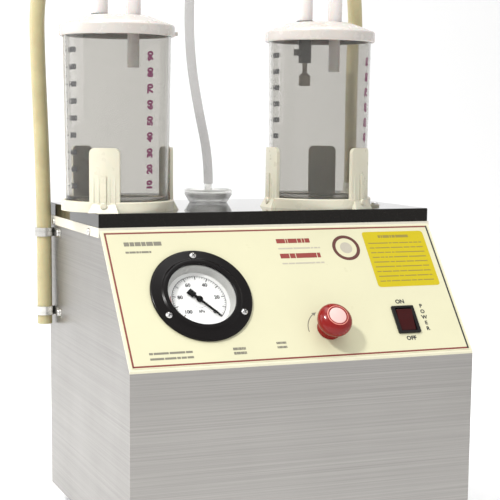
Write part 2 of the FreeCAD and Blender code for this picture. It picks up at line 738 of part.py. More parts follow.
def clear_tube_route():
    """From the filter's nozzle up, over and down on to the right jar's outlet connector."""
    x = CAB_X
    y = CAB_Y
    end_x, end_y = port_points(JAR_RIGHT_X)[0]
    return [
        (FILTER_X, FILTER_Y, FILTER_NOZZLE_Z),
        (FILTER_X, FILTER_Y, 408.0),
        (x - 26.5, y + 105.0, 466.0),
        (x - 36.5, y + 104.5, 524.0),
        (x - 39.0, y + 102.0, 590.0),
        (x - 34.0, y + 95.0, 655.0),
        (x - 5.0, y + 71.0, 700.0),
        (x + 36.0, y + 35.0, 700.0),
        (end_x, end_y, 664.0),
        (end_x, end_y, NOZZLE_Z),
    ]


def gauge_tail():
    return panel_point(GAUGE_X, GAUGE_S, -GAUGE_DEPTH - 22.0)


def regulator_tail():
    return panel_point(KNOB_X, KNOB_S, -52.0)


def behind(point, distance):
    """A point further in, square to the control panel."""
    x, y, z = point
    return x, y + distance * math.sin(SLOPE), z - distance * math.cos(SLOPE)


def inlet_port():
    return PUMP_X0 + PUMP_L / 2, UNIT_Y - 16.0, UNIT_Z + PUMP_R + 14.0


def make_vacuum_tubes():
    """The three inner tubes: filter to pump, filter to gauge and filter to regulator."""
    port_x, port_y, port_z = inlet_port()
    to_pump = [
        (FILTER_X, FILTER_Y, 294.0),
        (FILTER_X, FILTER_Y - 1.0, 258.0),
        (FILTER_X + 20.0, FILTER_Y - 34.0, 222.0),
        (port_x - 6.0, port_y + 14.0, 214.0),
        (port_x, port_y, port_z),
    ]
    gauge_end = gauge_tail()
    to_gauge = [
        (FILTER_X - 26.0, FILTER_Y, 322.0),
        (FILTER_X - 59.0, FILTER_Y - 2.0, 319.0),
        (GAUGE_X + 4.0, FILTER_Y - 30.0, 296.0),
        (GAUGE_X + 1.0, FILTER_Y - 63.0, 252.0),
        (GAUGE_X, FILTER_Y - 100.0, 216.0),
        behind(gauge_end, 36.0),
        gauge_end,
    ]
    regulator_end = regulator_tail()
    to_regulator = [
        (FILTER_X, FILTER_Y - 26.0, 322.0),
        (FILTER_X + 1.0, FILTER_Y - 55.0, 321.0),
        (FILTER_X + 13.0, FILTER_Y - 83.0, 290.0),
        (FILTER_X + 27.0, FILTER_Y - 101.0, 246.0),
        (FILTER_X + 39.0, FILTER_Y - 114.0, 205.0),
        (KNOB_X - 1.5, FILTER_Y - 141.0, 178.0),
        behind(regulator_end, 34.0),
        regulator_end,
    ]
    tubes = [
        tube_along("tube_to_pump", to_pump, INNER_TUBE_R),
        tube_along("tube_to_gauge", to_gauge, INNER_TUBE_R),
        tube_along("tube_to_regulator", to_regulator, INNER_TUBE_R),
    ]
    return Part.makeCompound(tubes)


# --- vacuum gauge --------------------------------------------------------------------------------
def gauge_bolt_points():
    angles = (90.0, 210.0, 330.0)
    turns = [math.radians(angle) for angle in angles]
    return [(GAUGE_BOLT_R * math.cos(turn), GAUGE_BOLT_R * math.sin(turn)) for turn in turns]


def make_gauge_flange():
    """The black front flange with a raised lip round the sight opening."""
    outline = [
        (GAUGE_CASE_R - 1.6, 0.0),
        (GAUGE_R, 0.0),
        (GAUGE_R, 2.2),
        (GAUGE_R - 1.0, 3.2),
        (42.0, 3.8),
        (40.0, 5.4),
        (GAUGE_SIGHT_R + 0.6, 5.4),
        (GAUGE_SIGHT_R, 4.8),
        (GAUGE_SIGHT_R, 3.2),
        (GAUGE_CASE_R - 1.6, 3.2),
    ]
    holes = [rod(SCREW_R + FIT, 12.0, x, y, -4.0) for x, y in gauge_bolt_points()]
    flange = lathe(outline).cut(Part.makeCompound(holes))
    return on_panel(flange, GAUGE_X, GAUGE_S)


def make_gauge_case():
    """The steel cup behind the panel, with its connection stem at the back."""
    wall = 1.5
    cup = lathe([
        (0.0, -GAUGE_DEPTH),
        (GAUGE_CASE_R, -GAUGE_DEPTH),
        (GAUGE_CASE_R, 0.0),
        (GAUGE_CASE_R - wall, 0.0),
        (GAUGE_CASE_R - wall, wall - GAUGE_DEPTH),
        (0.0, wall - GAUGE_DEPTH),
    ])
    stem = rod(INNER_TUBE_R - 0.5, 22.0, 0, 0, -GAUGE_DEPTH - 22.0)
    hexagon = rod(9.0, 9.0, 0, 0, -GAUGE_DEPTH - 9.0)
    return on_panel(joined([cup, stem, hexagon]), GAUGE_X, GAUGE_S)


def make_gauge_ring():
    """The pale sloping ring between the glass and the dial."""
    outer = GAUGE_CASE_R - 1.7
    body = lathe([
        (33.0, -DIAL_DROP),
        (outer, -DIAL_DROP),
        (outer, 0.9),
        (36.4, 0.9),
    ])
    return on_panel(body, GAUGE_X, GAUGE_S)


def make_gauge_glass():
    return on_panel(rod(GAUGE_CASE_R - 1.8, 2.2, 0, 0, 0.95), GAUGE_X, GAUGE_S)


def make_gauge_dial():
    dial = ring(GAUGE_CASE_R - 1.8, 2.0, 1.0, 0, 0, -DIAL_DROP - 1.0)
    return on_panel(dial, GAUGE_X, GAUGE_S)


def make_gauge_movement():
    """Two brass plates on pillars behind the dial, with the pointer's bearing."""
    z = -DIAL_DROP - 1.0
    front = slab(34.0, 26.0, 1.5, 0, 0, z - 3.5)
    back = slab(34.0, 26.0, 1.5, 0, 0, z - 13.5)
    pillars = [rod(1.8, 9.0, x, y, z - 12.5) for x in (-13.0, 13.0) for y in (-9.0, 9.0)]
    posts = [rod(1.8, 3.5, x, y, z - 3.5) for x in (-13.0, 13.0) for y in (-9.0, 9.0)]
    foot = slab(12.0, 26.0, GAUGE_DEPTH - 1.5 + z - 13.0, 0, 0, 1.5 - GAUGE_DEPTH)
    plates = joined([front, back, foot] + pillars + posts)
    bearing = rod(1.3, 12.0, 0, 0, z - 14.0)
    return on_panel(plates.cut(bearing), GAUGE_X, GAUGE_S)


def make_bourdon_tube():
    """The curved pressure tube, three quarters of a turn round the movement."""
    radius = 29.0
    z = -GAUGE_DEPTH + 12.0
    circle = Part.Wire(Part.makeCircle(2.6, vec(radius, 0, z), Y_AXIS))
    bend = Part.Face(circle).revolve(vec(0, 0, 0), Z_AXIS, 270)
    bend.rotate(vec(0, 0, 0), Z_AXIS, 135.0)
    return on_panel(bend, GAUGE_X, GAUGE_S)


def make_gauge_pointer():
    """Needle, counterweight and arbor in one piece."""
    z = -DIAL_DROP + 1.6
    half = 1.2
    needle = Part.Face(Part.makePolygon([
        vec(0, -half, z), vec(22.0, -half, z), vec(28.5, -0.25, z), vec(28.5, 0.25, z),
        vec(22.0, half, z), vec(0, half, z), vec(0, -half, z),
    ])).extrude(vec(0, 0, 0.8))
    tail = slab(6.0, 3.0, 0.8, -4.0, 0, z)
    weight = slab(8.0, 7.0, 0.8, -10.5, 0, z)
    hub = rod(3.4, 1.6, 0, 0, z)
    arbor = rod(1.25, 16.0, 0, 0, z - 16.0)
    pointer = joined([needle, tail, weight, hub, arbor])
    pointer.rotate(vec(0, 0, 0), Z_AXIS, POINTER_ANGLE)
    return on_panel(pointer, GAUGE_X, GAUGE_S)


def make_gauge_screws():
    screws = []
    for x, y in gauge_bolt_points():
        body = lathe([(0.0, 3.8), (3.6, 3.8), (3.4, 5.0), (2.2, 6.1), (0.0, 6.4)])
        screws.append(on_panel(body.fuse(rod(SCREW_R, 12.0, 0, 0, -8.0)), GAUGE_X, GAUGE_S))
        screws[-1].translate(panel_shift(x, y))
    return Part.makeCompound(screws)


def panel_shift(x, s):
    """A move along the panel's face: x across and s up the slope."""
    return vec(x, s * math.cos(SLOPE), s * math.sin(SLOPE))


# --- regulator and switch ------------------------------------------------------------------------
def make_regulator_knob():
    """A mushroom knob: a low dome over a deeper bowl, a flat top and a short neck."""
    outline = [(0.0, 0.6), (KNOB_NECK_R + 1.0, 0.6), (KNOB_NECK_R, 3.0), (KNOB_NECK_R, 6.0)]
    depth = KNOB_WAIST - 4.5
    dome = (KNOB_H - KNOB_WAIST) / math.sqrt(1.0 - (KNOB_FLAT_R / KNOB_R) ** 2)
    start = -math.acos(KNOB_NECK_R / KNOB_R)
    end = math.acos(KNOB_FLAT_R / KNOB_R)
    for step in range(25):
        turn = start + (end - start) * step / 24
        height = depth if turn < 0 else dome
        outline.append((KNOB_R * math.cos(turn), KNOB_WAIST + height * math.sin(turn)))
    outline.append((0.0, KNOB_H))
    recess = rod(KNOB_FLAT_R - 1.2, 1.2, 0, 0, KNOB_H - 1.2)
    spindle_hole = rod(3.0, 18.0, 0, 0, 0)
    knob = lathe(outline).cut(Part.makeCompound([recess, spindle_hole]))
    return on_panel(knob, KNOB_X, KNOB_S)


def make_knob_cap():
    cap = rod(KNOB_FLAT_R - 1.3, 1.4, 0, 0, KNOB_H - 1.2)
    return on_panel(cap, KNOB_X, KNOB_S)


def make_regulator_body():
    """The brass bleed valve behind the panel, with its bush, nut and hose tail."""
    bush = rod(5.0, 12.0, 0, 0, -11.7)
    nut = rod(9.0, 3.0, 0, 0, -4.95)
    body = rod(11.0, 28.0, 0, 0, -39.0)
    tail = rod(INNER_TUBE_R - 0.5, 14.0, 0, 0, -52.0)
    whole = joined([bush, nut, body, tail])
    spindle_way = rod(3.0 + FIT, 40.0, 0, 0, -34.0)
    return on_panel(whole.cut(spindle_way), KNOB_X, KNOB_S)


def make_regulator_spindle():
    """The knob's spindle; the needle slides in its hollow end."""
    spindle = rod(3.0, 36.0, 0, 0, -18.5)
    socket = rod(2.0 + FIT, 12.0, 0, 0, -18.5)
    return on_panel(spindle.cut(socket).cut(rod(4.0, 30.0, 0, 0, 17.4)), KNOB_X, KNOB_S)


def make_regulator_needle():
    needle = lathe([(0.0, -31.0), (2.7, -26.0), (2.7, -22.6), (2.0, -22.6), (2.0, -12.0), (0.0, -12.0)])
    return on_panel(needle, KNOB_X, KNOB_S)


def rocker_outline():
    """Side view of the rocker: ends on a circle about the pivot, a shallow vee on top.

    Its low half is towards the crease at rest, and half a travel more or less makes it level.
    """
    radius = ROCKER_L / 2 + 0.2
    low = -18.0
    level = 22.0
    tilt = ROCKER_TRAVEL / 2
    right = [low + step * (level + tilt - low) / 6 for step in range(7)]
    left = [180.0 - level + tilt + step * (level - tilt - low) / 6 for step in range(7)]
    rim = [(radius * math.cos(math.radians(a)), PIVOT_Z + radius * math.sin(math.radians(a))) for a in right]
    rim.append((0.0, 1.3))
    rim += [(radius * math.cos(math.radians(a)), PIVOT_Z + radius * math.sin(math.radians(a))) for a in left]
    return rim


def make_switch_housing():
    """Snap-in housing: bezel, body behind the panel and two terminals."""
    bezel = slab(SWITCH_W, SWITCH_L, 2.0, 0, 0, 0)
    bezel = bezel.makeFillet(1.2, [edge for edge in bezel.Edges if abs(edge.tangentAt(0).z) > 0.9])
    body = slab(SWITCH_W - 4.2, SWITCH_L - 4.2, 22.0, 0, 0, -22.0)
    blades = [slab(6.3, 0.8, 9.0, 0, y, -31.0) for y in (-8.0, 0.0, 8.0)]
    whole = joined([bezel, body] + blades)
    well = slab(ROCKER_W + 0.8, ROCKER_L + 1.8, 18.0, 0, 0, -12.0)
    pivots = [rod(1.6, 2.0, side * (ROCKER_W / 2 + 0.6), 0, PIVOT_Z, X_AXIS * -side) for side in (-1, 1)]
    return on_panel(whole.cut(well).multiFuse(pivots), SWITCH_X, SWITCH_S)


def make_switch_rocker():
    rocker = side_profile(rocker_outline(), -ROCKER_W / 2, ROCKER_W / 2)
    pivot = rod(1.65, ROCKER_W + 2.0, -ROCKER_W / 2 - 1.0, 0, PIVOT_Z, X_AXIS)
    return on_panel(rocker.cut(pivot), SWITCH_X, SWITCH_S)


# --- motor and pump ------------------------------------------------------------------------------
def along_x(radius, x0, length, z=UNIT_Z):
    return rod(radius, length, x0, UNIT_Y, z, X_AXIS)


def motor_foot(x):
    """A block foot between the unit plate and a round housing."""
    top = UNIT_Z - 30.0
    low = unit_plate_top()
    return slab(18.0, 90.0, top - low, x, UNIT_Y, low)


def unit_plate_top():
    return FOOT_H + SHEET + PANEL_T + MOUNT_H + UNIT_PLATE_T


def make_motor_housing():
    wall = 4.0
    shell = along_x(MOTOR_R, MOTOR_X0, MOTOR_L)
    feet = [motor_foot(MOTOR_X0 + 20.0), motor_foot(MOTOR_X0 + MOTOR_L - 20.0)]
    whole = joined([shell] + feet)
    hollow = along_x(MOTOR_R - wall, MOTOR_X0 + wall, MOTOR_L - 2 * wall)
    bore = along_x(SHAFT_R + 4.0, MOTOR_X0 - 1.0, MOTOR_L + 2.0)
    slots = []
    for turn in range(8):
        slot = rod(5.0, 2 * wall, MOTOR_X0 - 1.0, UNIT_Y, UNIT_Z + 42.0, X_AXIS)
        slot.rotate(vec(0, UNIT_Y, UNIT_Z), X_AXIS, 45.0 * turn)
        slots.append(slot)
    return whole.cut(hollow).cut(bore).cut(Part.makeCompound(slots))


def make_motor_stator():
    wall = 4.0
    length = 76.0
    x0 = MOTOR_X0 + (MOTOR_L - length) / 2
    core = along_x(MOTOR_R - wall, x0, length)
    return core.cut(along_x(STATOR_IN_R, x0, length))


def make_motor_bearings():
    """Two ball-bearing rings that seat in the housing's ends."""
    rings = []
    for x0 in (MOTOR_X0 - 1.0, MOTOR_X0 + MOTOR_L - 6.0):
        outer = along_x(SHAFT_R + 4.0, x0, 7.0)
        rings.append(outer.cut(along_x(SHAFT_R + FIT, x0, 7.0)))
    return Part.makeCompound(rings)


def make_motor_rotor():
    """The motor's rotor on the shaft that also drives the pump and the fan."""
    core = along_x(ROTOR_R, MOTOR_X0 + 28.0, MOTOR_L - 56.0)
    shaft_start = MOTOR_X0 - 26.0
    shaft_end = PUMP_X0 + PUMP_L + PUMP_COVER_T
    return core.fuse(along_x(SHAFT_R, shaft_start, shaft_end - shaft_start))


def make_cooling_fan():
    """A hub with eight flat blades behind the motor."""
    x0 = MOTOR_X0 - 22.0
    hub = along_x(16.0, x0, 16.0)
    blades = []
    for turn in range(8):
        blade = slab(14.0, 2.0, 38.0, 0, 0, 14.0)
        blade.rotate(vec(0, 0, 0), Z_AXIS, 28.0)
        blade.translate(vec(x0 + 8.0, UNIT_Y, UNIT_Z))
        blade.rotate(vec(0, UNIT_Y, UNIT_Z), X_AXIS, 45.0 * turn)
        blades.append(blade)
    fan = hub.multiFuse(blades)
    return fan.cut(along_x(SHAFT_R, x0 - 1.0, 20.0))


def make_pump_cylinder():
    """The pump's body: an off-centre bore, cooling fins, a foot and two ports on top."""
    body = along_x(PUMP_R, PUMP_X0, PUMP_L)
    foot_low = unit_plate_top()
    foot = slab(PUMP_L - 10.0, 80.0, UNIT_Z - 24.0 - foot_low, PUMP_X0 + PUMP_L / 2, UNIT_Y, foot_low)
    port_x, port_y, port_z = inlet_port()
    inlet = rod(INNER_TUBE_R - 0.5, port_z - UNIT_Z - 38.0, port_x, port_y, UNIT_Z + 38.0)
    outlet = rod(7.0, 28.0, port_x + EXHAUST_X, UNIT_Y + EXHAUST_Y, UNIT_Z + 38.0)
    grooves = []
    for step in range(6):
        x0 = PUMP_X0 + 7.0 + 9.0 * step
        grooves.append(along_x(PUMP_R + 1.0, x0, 4.0).cut(along_x(PUMP_R - 5.0, x0, 4.0)))
    whole = joined([body.cut(Part.makeCompound(grooves)), foot, inlet, outlet])
    return whole.cut(along_x(PUMP_BORE_R, PUMP_X0, PUMP_L, UNIT_Z - PUMP_OFFSET))


def make_pump_rotor():
    """The slotted rotor, keyed on the shaft."""
    gap = 0.4
    rotor = along_x(PUMP_ROTOR_R, PUMP_X0 + gap, PUMP_L - 2 * gap)
    slots = [vane_block(turn, 4.0, 17.0, PUMP_L) for turn in range(VANE_COUNT)]
    return rotor.cut(along_x(SHAFT_R, PUMP_X0, PUMP_L)).cut(Part.makeCompound(slots))


def vane_block(turn, thickness, depth, length):
    """A block that fills a rotor slot, measured in from the rotor's outside."""
    block = slab(length, thickness, depth, PUMP_X0 + PUMP_L / 2, UNIT_Y, UNIT_Z + PUMP_ROTOR_R - depth)
    block.rotate(vec(0, UNIT_Y, UNIT_Z), X_AXIS, 360.0 / VANE_COUNT * turn)
    return block


def make_pump_vanes():
    vanes = [vane_block(turn, 3.8, 15.0, PUMP_L - 1.2) for turn in range(VANE_COUNT)]
    limit = along_x(PUMP_ROTOR_R - 0.1, PUMP_X0, PUMP_L)
    return Part.makeCompound([vane.common(limit) for vane in vanes])


def make_pump_covers():
    covers = []
    for x0 in (PUMP_X0 - PUMP_COVER_T, PUMP_X0 + PUMP_L):
        cover = along_x(PUMP_R, x0, PUMP_COVER_T)
        covers.append(cover.cut(along_x(SHAFT_R + FIT, x0, PUMP_COVER_T)))
    return Part.makeCompound(covers)


def mount_points():
    xs = (MOTOR_X0 + 6.0, PUMP_X0 + PUMP_L - 4.0)
    return [(x, UNIT_Y + j * 62.0) for x in xs for j in (-1, 1)]


def make_unit_plate():
    length = PUMP_X0 + PUMP_L - MOTOR_X0 + 24.0
    x = (PUMP_X0 + PUMP_L + MOTOR_X0) / 2
    z = unit_plate_top() - UNIT_PLATE_T
    return slab(length, 150.0, UNIT_PLATE_T, x, UNIT_Y, z)


def make_unit_mounts():
    """Four waisted rubber mounts between the base plate and the unit plate."""
    low = FOOT_H + SHEET + PANEL_T
    mounts = []
    for x, y in mount_points():
        mounts.append(lathe([
            (0.0, low), (12.0, low), (12.0, low + 4.0), (8.5, low + MOUNT_H / 2),
            (12.0, low + MOUNT_H - 4.0), (12.0, low + MOUNT_H), (0.0, low + MOUNT_H),
        ], x, y))
    return Part.makeCompound(mounts)


def make_silencer():
    """The exhaust silencer, screwed on the pump's outlet."""
    port_x = inlet_port()[0]
    z = UNIT_Z + 66.0
    return lathe([
        (0.0, z), (9.0, z), (15.0, z + 4.0), (15.0, z + 44.0), (11.0, z + 50.0), (0.0, z + 50.0),
    ], port_x + EXHAUST_X, UNIT_Y + EXHAUST_Y)


# --- mains inlet ---------------------------------------------------------------------------------
def make_mains_inlet():
    """A three-pin inlet with a fuse drawer above its socket."""
    face_y = REAR_Y + SHEET
    low = INLET_Z - INLET_H / 2
    flange = slab(INLET_W, 2.5, INLET_H, INLET_X, face_y + 1.25, low)
    flange = flange.makeFillet(3.0, [e for e in flange.Edges if abs(e.tangentAt(e.FirstParameter).y) > 0.9])
    body = slab(INLET_W - 7.0, 26.0, INLET_H - 7.0, INLET_X, face_y - 12.0, low + 3.5)
    whole = joined([flange, body])
    socket = slab(24.5, 16.0, 16.5, INLET_X, face_y - 4.0, low + 7.0)
    drawer = slab(27.0, 24.0, 10.0, INLET_X, face_y - 8.0, low + 29.0)
    pins = []
    for x, z in ((-7.0, low + 13.0), (7.0, low + 13.0), (0.0, low + 17.0)):
        pins.append(slab(2.0, 14.0, 4.0, INLET_X + x, face_y - 5.5, z))
    whole = whole.cut(Part.makeCompound([socket, drawer])).multiFuse(pins)
    return whole.cut(screw_holes(inlet_screw_points()))


def make_fuse_drawer():
    face_y = REAR_Y + SHEET
    low = INLET_Z - INLET_H / 2 + 29.0
    tray = slab(26.4, 20.0, 9.4, INLET_X, face_y - 8.0 + 2.0, low + 0.3)
    lip = slab(8.0, 1.5, 3.0, INLET_X, face_y + 4.4, low + 0.3)
    trough = slab(22.0, 14.0, 6.0, INLET_X, face_y - 7.0, low + 3.7)
    return joined([tray, lip]).cut(trough)


BUILDERS = {
    "base_plate": make_base_plate,
    "cabinet_shell": make_cabinet_shell,
    "control_panel": make_control_panel,
    "panel_overlay": make_panel_overlay,
    "deck_frame": make_deck_frame,
    "deck_board": make_deck_board,
    "rear_cover": make_rear_cover,
    "rubber_feet": make_rubber_feet,
    "machine_screws": make_machine_screws,
    "holder_left": lambda: make_holder(JAR_LEFT_X, "left"),
    "holder_right": lambda: make_holder(JAR_RIGHT_X, "right"),
    "jar_left": lambda: make_jar(JAR_LEFT_X),
    "jar_right": lambda: make_jar(JAR_RIGHT_X),
    "lid_left": lambda: make_lid(JAR_LEFT_X),
    "lid_right": lambda: make_lid(JAR_RIGHT_X),
    "seal_left": lambda: make_seal(JAR_LEFT_X),
    "seal_right": lambda: make_seal(JAR_RIGHT_X),
    "connectors_left": lambda: make_connectors(JAR_LEFT_X, JAR_RIM_Z - 4.0),
    "connectors_right": lambda: make_connectors(JAR_RIGHT_X, JAR_RIM_Z + SEAL_T - 4.0),
    "float_cage": make_float_cage,
    "float_valve": make_float_valve,
    "filter_body": make_filter_body,
    "filter_membrane": make_filter_membrane,
    "filter_cover": make_filter_cover,
    "filter_socket": make_filter_socket,
    "hose_nozzle": make_hose_nozzle,
    "hose_clips": make_hose_clips,
    "suction_hose": lambda: tube_along("suction_hose", suction_hose_route(), HOSE_R),
    "clear_tube": lambda: tube_along("clear_tube", clear_tube_route(), TUBE_R),
    "vacuum_tubes": make_vacuum_tubes,
    "gauge_flange": make_gauge_flange,
    "gauge_case": make_gauge_case,
    "gauge_ring": make_gauge_ring,
    "gauge_glass": make_gauge_glass,
    "gauge_dial": make_gauge_dial,
    "gauge_movement": make_gauge_movement,
    "bourdon_tube": make_bourdon_tube,
    "gauge_pointer": make_gauge_pointer,
    "gauge_screws": make_gauge_screws,
    "regulator_knob": make_regulator_knob,
    "knob_cap": make_knob_cap,
    "regulator_body": make_regulator_body,
    "regulator_spindle": make_regulator_spindle,
    "regulator_needle": make_regulator_needle,
    "switch_housing": make_switch_housing,
    "switch_rocker": make_switch_rocker,
    "motor_housing": make_motor_housing,
    "motor_stator": make_motor_stator,
    "motor_bearings": make_motor_bearings,
    "motor_rotor": make_motor_rotor,
    "cooling_fan": make_cooling_fan,
    "pump_cylinder": make_pump_cylinder,
    "pump_rotor": make_pump_rotor,
    "pump_vanes": make_pump_vanes,
    "pump_covers": make_pump_covers,
    "unit_plate": make_unit_plate,
    "unit_mounts": make_unit_mounts,
    "silencer": make_silencer,
    "mains_inlet": make_mains_inlet,
    "fuse_drawer": make_fuse_drawer,
}


def main():
    os.makedirs("parts", exist_ok=True)
    for name, build in BUILDERS.items():
        shape = build()
        solids = shape.Solids
        whole = solids[0] if len(solids) == 1 else Part.makeCompound(solids)
        if not whole.isValid():
            print(name, "is not valid")
        whole.exportStep("parts/" + name + ".step")
        print(name, len(solids), round(whole.Volume))


main()
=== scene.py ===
import json
import logging
import math
from dataclasses import dataclass, field
from enum import Enum

import bmesh
import bpy
import numpy as np
from mathutils import Matrix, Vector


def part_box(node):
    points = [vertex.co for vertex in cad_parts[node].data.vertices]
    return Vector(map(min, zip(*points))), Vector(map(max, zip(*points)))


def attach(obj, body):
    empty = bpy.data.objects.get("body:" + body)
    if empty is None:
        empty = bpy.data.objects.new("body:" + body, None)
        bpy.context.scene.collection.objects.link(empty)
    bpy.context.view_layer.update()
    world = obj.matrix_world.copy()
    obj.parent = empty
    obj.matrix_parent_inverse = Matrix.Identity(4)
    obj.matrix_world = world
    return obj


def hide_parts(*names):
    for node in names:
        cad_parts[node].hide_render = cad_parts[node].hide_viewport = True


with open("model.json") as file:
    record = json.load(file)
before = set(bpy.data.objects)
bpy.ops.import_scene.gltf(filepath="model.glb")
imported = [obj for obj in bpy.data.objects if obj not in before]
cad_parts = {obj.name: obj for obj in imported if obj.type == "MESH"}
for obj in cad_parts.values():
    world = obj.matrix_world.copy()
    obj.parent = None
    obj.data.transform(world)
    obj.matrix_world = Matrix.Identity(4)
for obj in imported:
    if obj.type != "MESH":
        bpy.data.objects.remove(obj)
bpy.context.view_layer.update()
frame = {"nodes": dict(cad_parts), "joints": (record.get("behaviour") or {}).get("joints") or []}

LOG = logging.getLogger("suction_pump")
MM = 0.001
BOLD = 0.045
KNOB_LIFT = 10.0
KNOB_UP_SLOPE = 35.5
Array = np.ndarray
Colour = tuple[float, float, float]
Socket = bpy.types.NodeSocket
NODES = frame["nodes"]
JOINTS = {joint["name"]: joint for joint in frame["joints"]}


class Body(Enum):
    """The rigid bodies that a piece can ride on."""

    CABINET = "cabinet"
    LEFT_JAR = "left_jar"
    LEFT_LID = "left_lid"
    KNOB = "knob"
    ROCKER = "rocker"


class Edge(Enum):
    """How an outline's ends are treated when its corners are rounded."""

    OPEN = "open"
    CLOSED = "closed"


def link(name: str, data: bpy.types.ID) -> bpy.types.Object:
    """Make an object of some data and put it in the scene.

    Args:
        name: the object's name.
        data: its mesh, curve, light or camera.

    Returns:
        The object.
    """
    made = bpy.data.objects.new(name, data)
    bpy.context.scene.collection.objects.link(made)
    return made


def stand(thing: bpy.types.Object, axes: list, origin: tuple[float, float, float]) -> None:
    """Turn a camera or lamp to its x, y and z axes, and place it.

    Args:
        thing: the camera or lamp.
        axes: its three unit axes in the frame.
        origin: where it stands, in metres.
    """
    matrix = np.eye(4)
    matrix[:3, :3] = np.array(axes).T
    matrix[:3, 3] = origin
    thing.matrix_world = Matrix(matrix.tolist())


# --- places --------------------------------------------------------------------------------------
@dataclass(frozen=True)
class Place:
    """An origin in metres and three unit axes, for drawing a piece in its own millimetres."""

    origin: tuple[float, float, float]
    x_axis: tuple[float, float, float] = (1.0, 0.0, 0.0)
    y_axis: tuple[float, float, float] = (0.0, 1.0, 0.0)
    z_axis: tuple[float, float, float] = (0.0, 0.0, 1.0)

    def carry(self, points: Array) -> Array:
        """Take local points into the frame: origin plus each coordinate times its axis.

        Args:
            points: local points in millimetres, in the last axis of any array.

        Returns:
            The same points in metres, in the frame.
        """
        axes = np.array([self.x_axis, self.y_axis, self.z_axis])
        return np.array(self.origin) + (points * MM) @ axes

    def moved(self, x: float, y: float, z: float = 0.0) -> "Place":
        """Give the same axes with the origin moved along them by x, y and z millimetres."""
        return Place(tuple(self.carry(np.array([x, y, z]))), self.x_axis, self.y_axis, self.z_axis)

    def turned(self, degrees: float) -> "Place":
        """Give the same origin with the x and y axes turned about z by the angle.

        Args:
            degrees: the angle, anticlockwise.

        Returns:
            The turned place.
        """
        cosine, sine = math.cos(math.radians(degrees)), math.sin(math.radians(degrees))
        x, y = np.array(self.x_axis), np.array(self.y_axis)
        return Place(self.origin, tuple(cosine * x + sine * y), tuple(cosine * y - sine * x), self.z_axis)


def panel_place(joint: str, lift: float) -> Place:
    """Stand on the control panel where a joint's axis meets its face.

    Args:
        joint: the name of a joint whose axis stands square on the panel.
        lift: how far the joint's stated point is above the panel's face, in millimetres.

    Returns:
        A place with x to the right, y up the slope and z outward.
    """
    normal = np.array(JOINTS["knob_turn"]["axis"], float)
    point = np.array(JOINTS[joint]["pos_m"], float) - normal * lift * MM
    return Place(tuple(point), (1.0, 0.0, 0.0), (0.0, normal[2], -normal[1]), tuple(normal))


def node_place(node: str, at_top: bool = False) -> Place:
    """Stand upright on the middle of a node's box, at its bottom or its top.

    Args:
        node: the CAD node's name.
        at_top: stand on the top of the box and not on its bottom.

    Returns:
        The upright place.
    """
    low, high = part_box(node)
    height = high.z if at_top else low.z
    return Place(((low.x + high.x) / 2, (low.y + high.y) / 2, height))


# --- surfaces ------------------------------------------------------------------------------------
def soften(corners: list[tuple], radius: float, edge: Edge = Edge.OPEN, steps: int = 5) -> Array:
    """Round an outline's corners with parabolas.

    Each corner P has a point A before it and a point B after it, at the radius or at 0.45 of the
    side, whichever is less. Its curve is (1 - t)(1 - t) A + 2 t (1 - t) P + t t B.

    Args:
        corners: the outline's corners in millimetres.
        radius: how far from each corner the curve starts.
        edge: whether the outline's last corner joins its first.
        steps: points on each curve.

    Returns:
        The rounded outline, one row for each point.
    """
    middle = np.array(corners, float)
    before, after = np.roll(middle, 1, 0), np.roll(middle, -1, 0)
    back, ahead = before - middle, after - middle
    back_length = np.maximum(np.linalg.norm(back, axis=1, keepdims=True), 1e-9)
    ahead_length = np.maximum(np.linalg.norm(ahead, axis=1, keepdims=True), 1e-9)
    start = middle + back / back_length * np.minimum(radius, 0.45 * back_length)
    end = middle + ahead / ahead_length * np.minimum(radius, 0.45 * ahead_length)
    if edge is Edge.OPEN:
        start[[0, -1]] = middle[[0, -1]]
        end[[0, -1]] = middle[[0, -1]]
    t = np.linspace(0.0, 1.0, steps)[None, :, None]
    curve = (1 - t) ** 2 * start[:, None] + 2 * t * (1 - t) * middle[:, None] + t ** 2 * end[:, None]
    points = curve.reshape(-1, 2)
    apart = np.linalg.norm(points - np.roll(points, 1, 0), axis=1) > 1e-6
    apart[0] = True
    return points[apart]


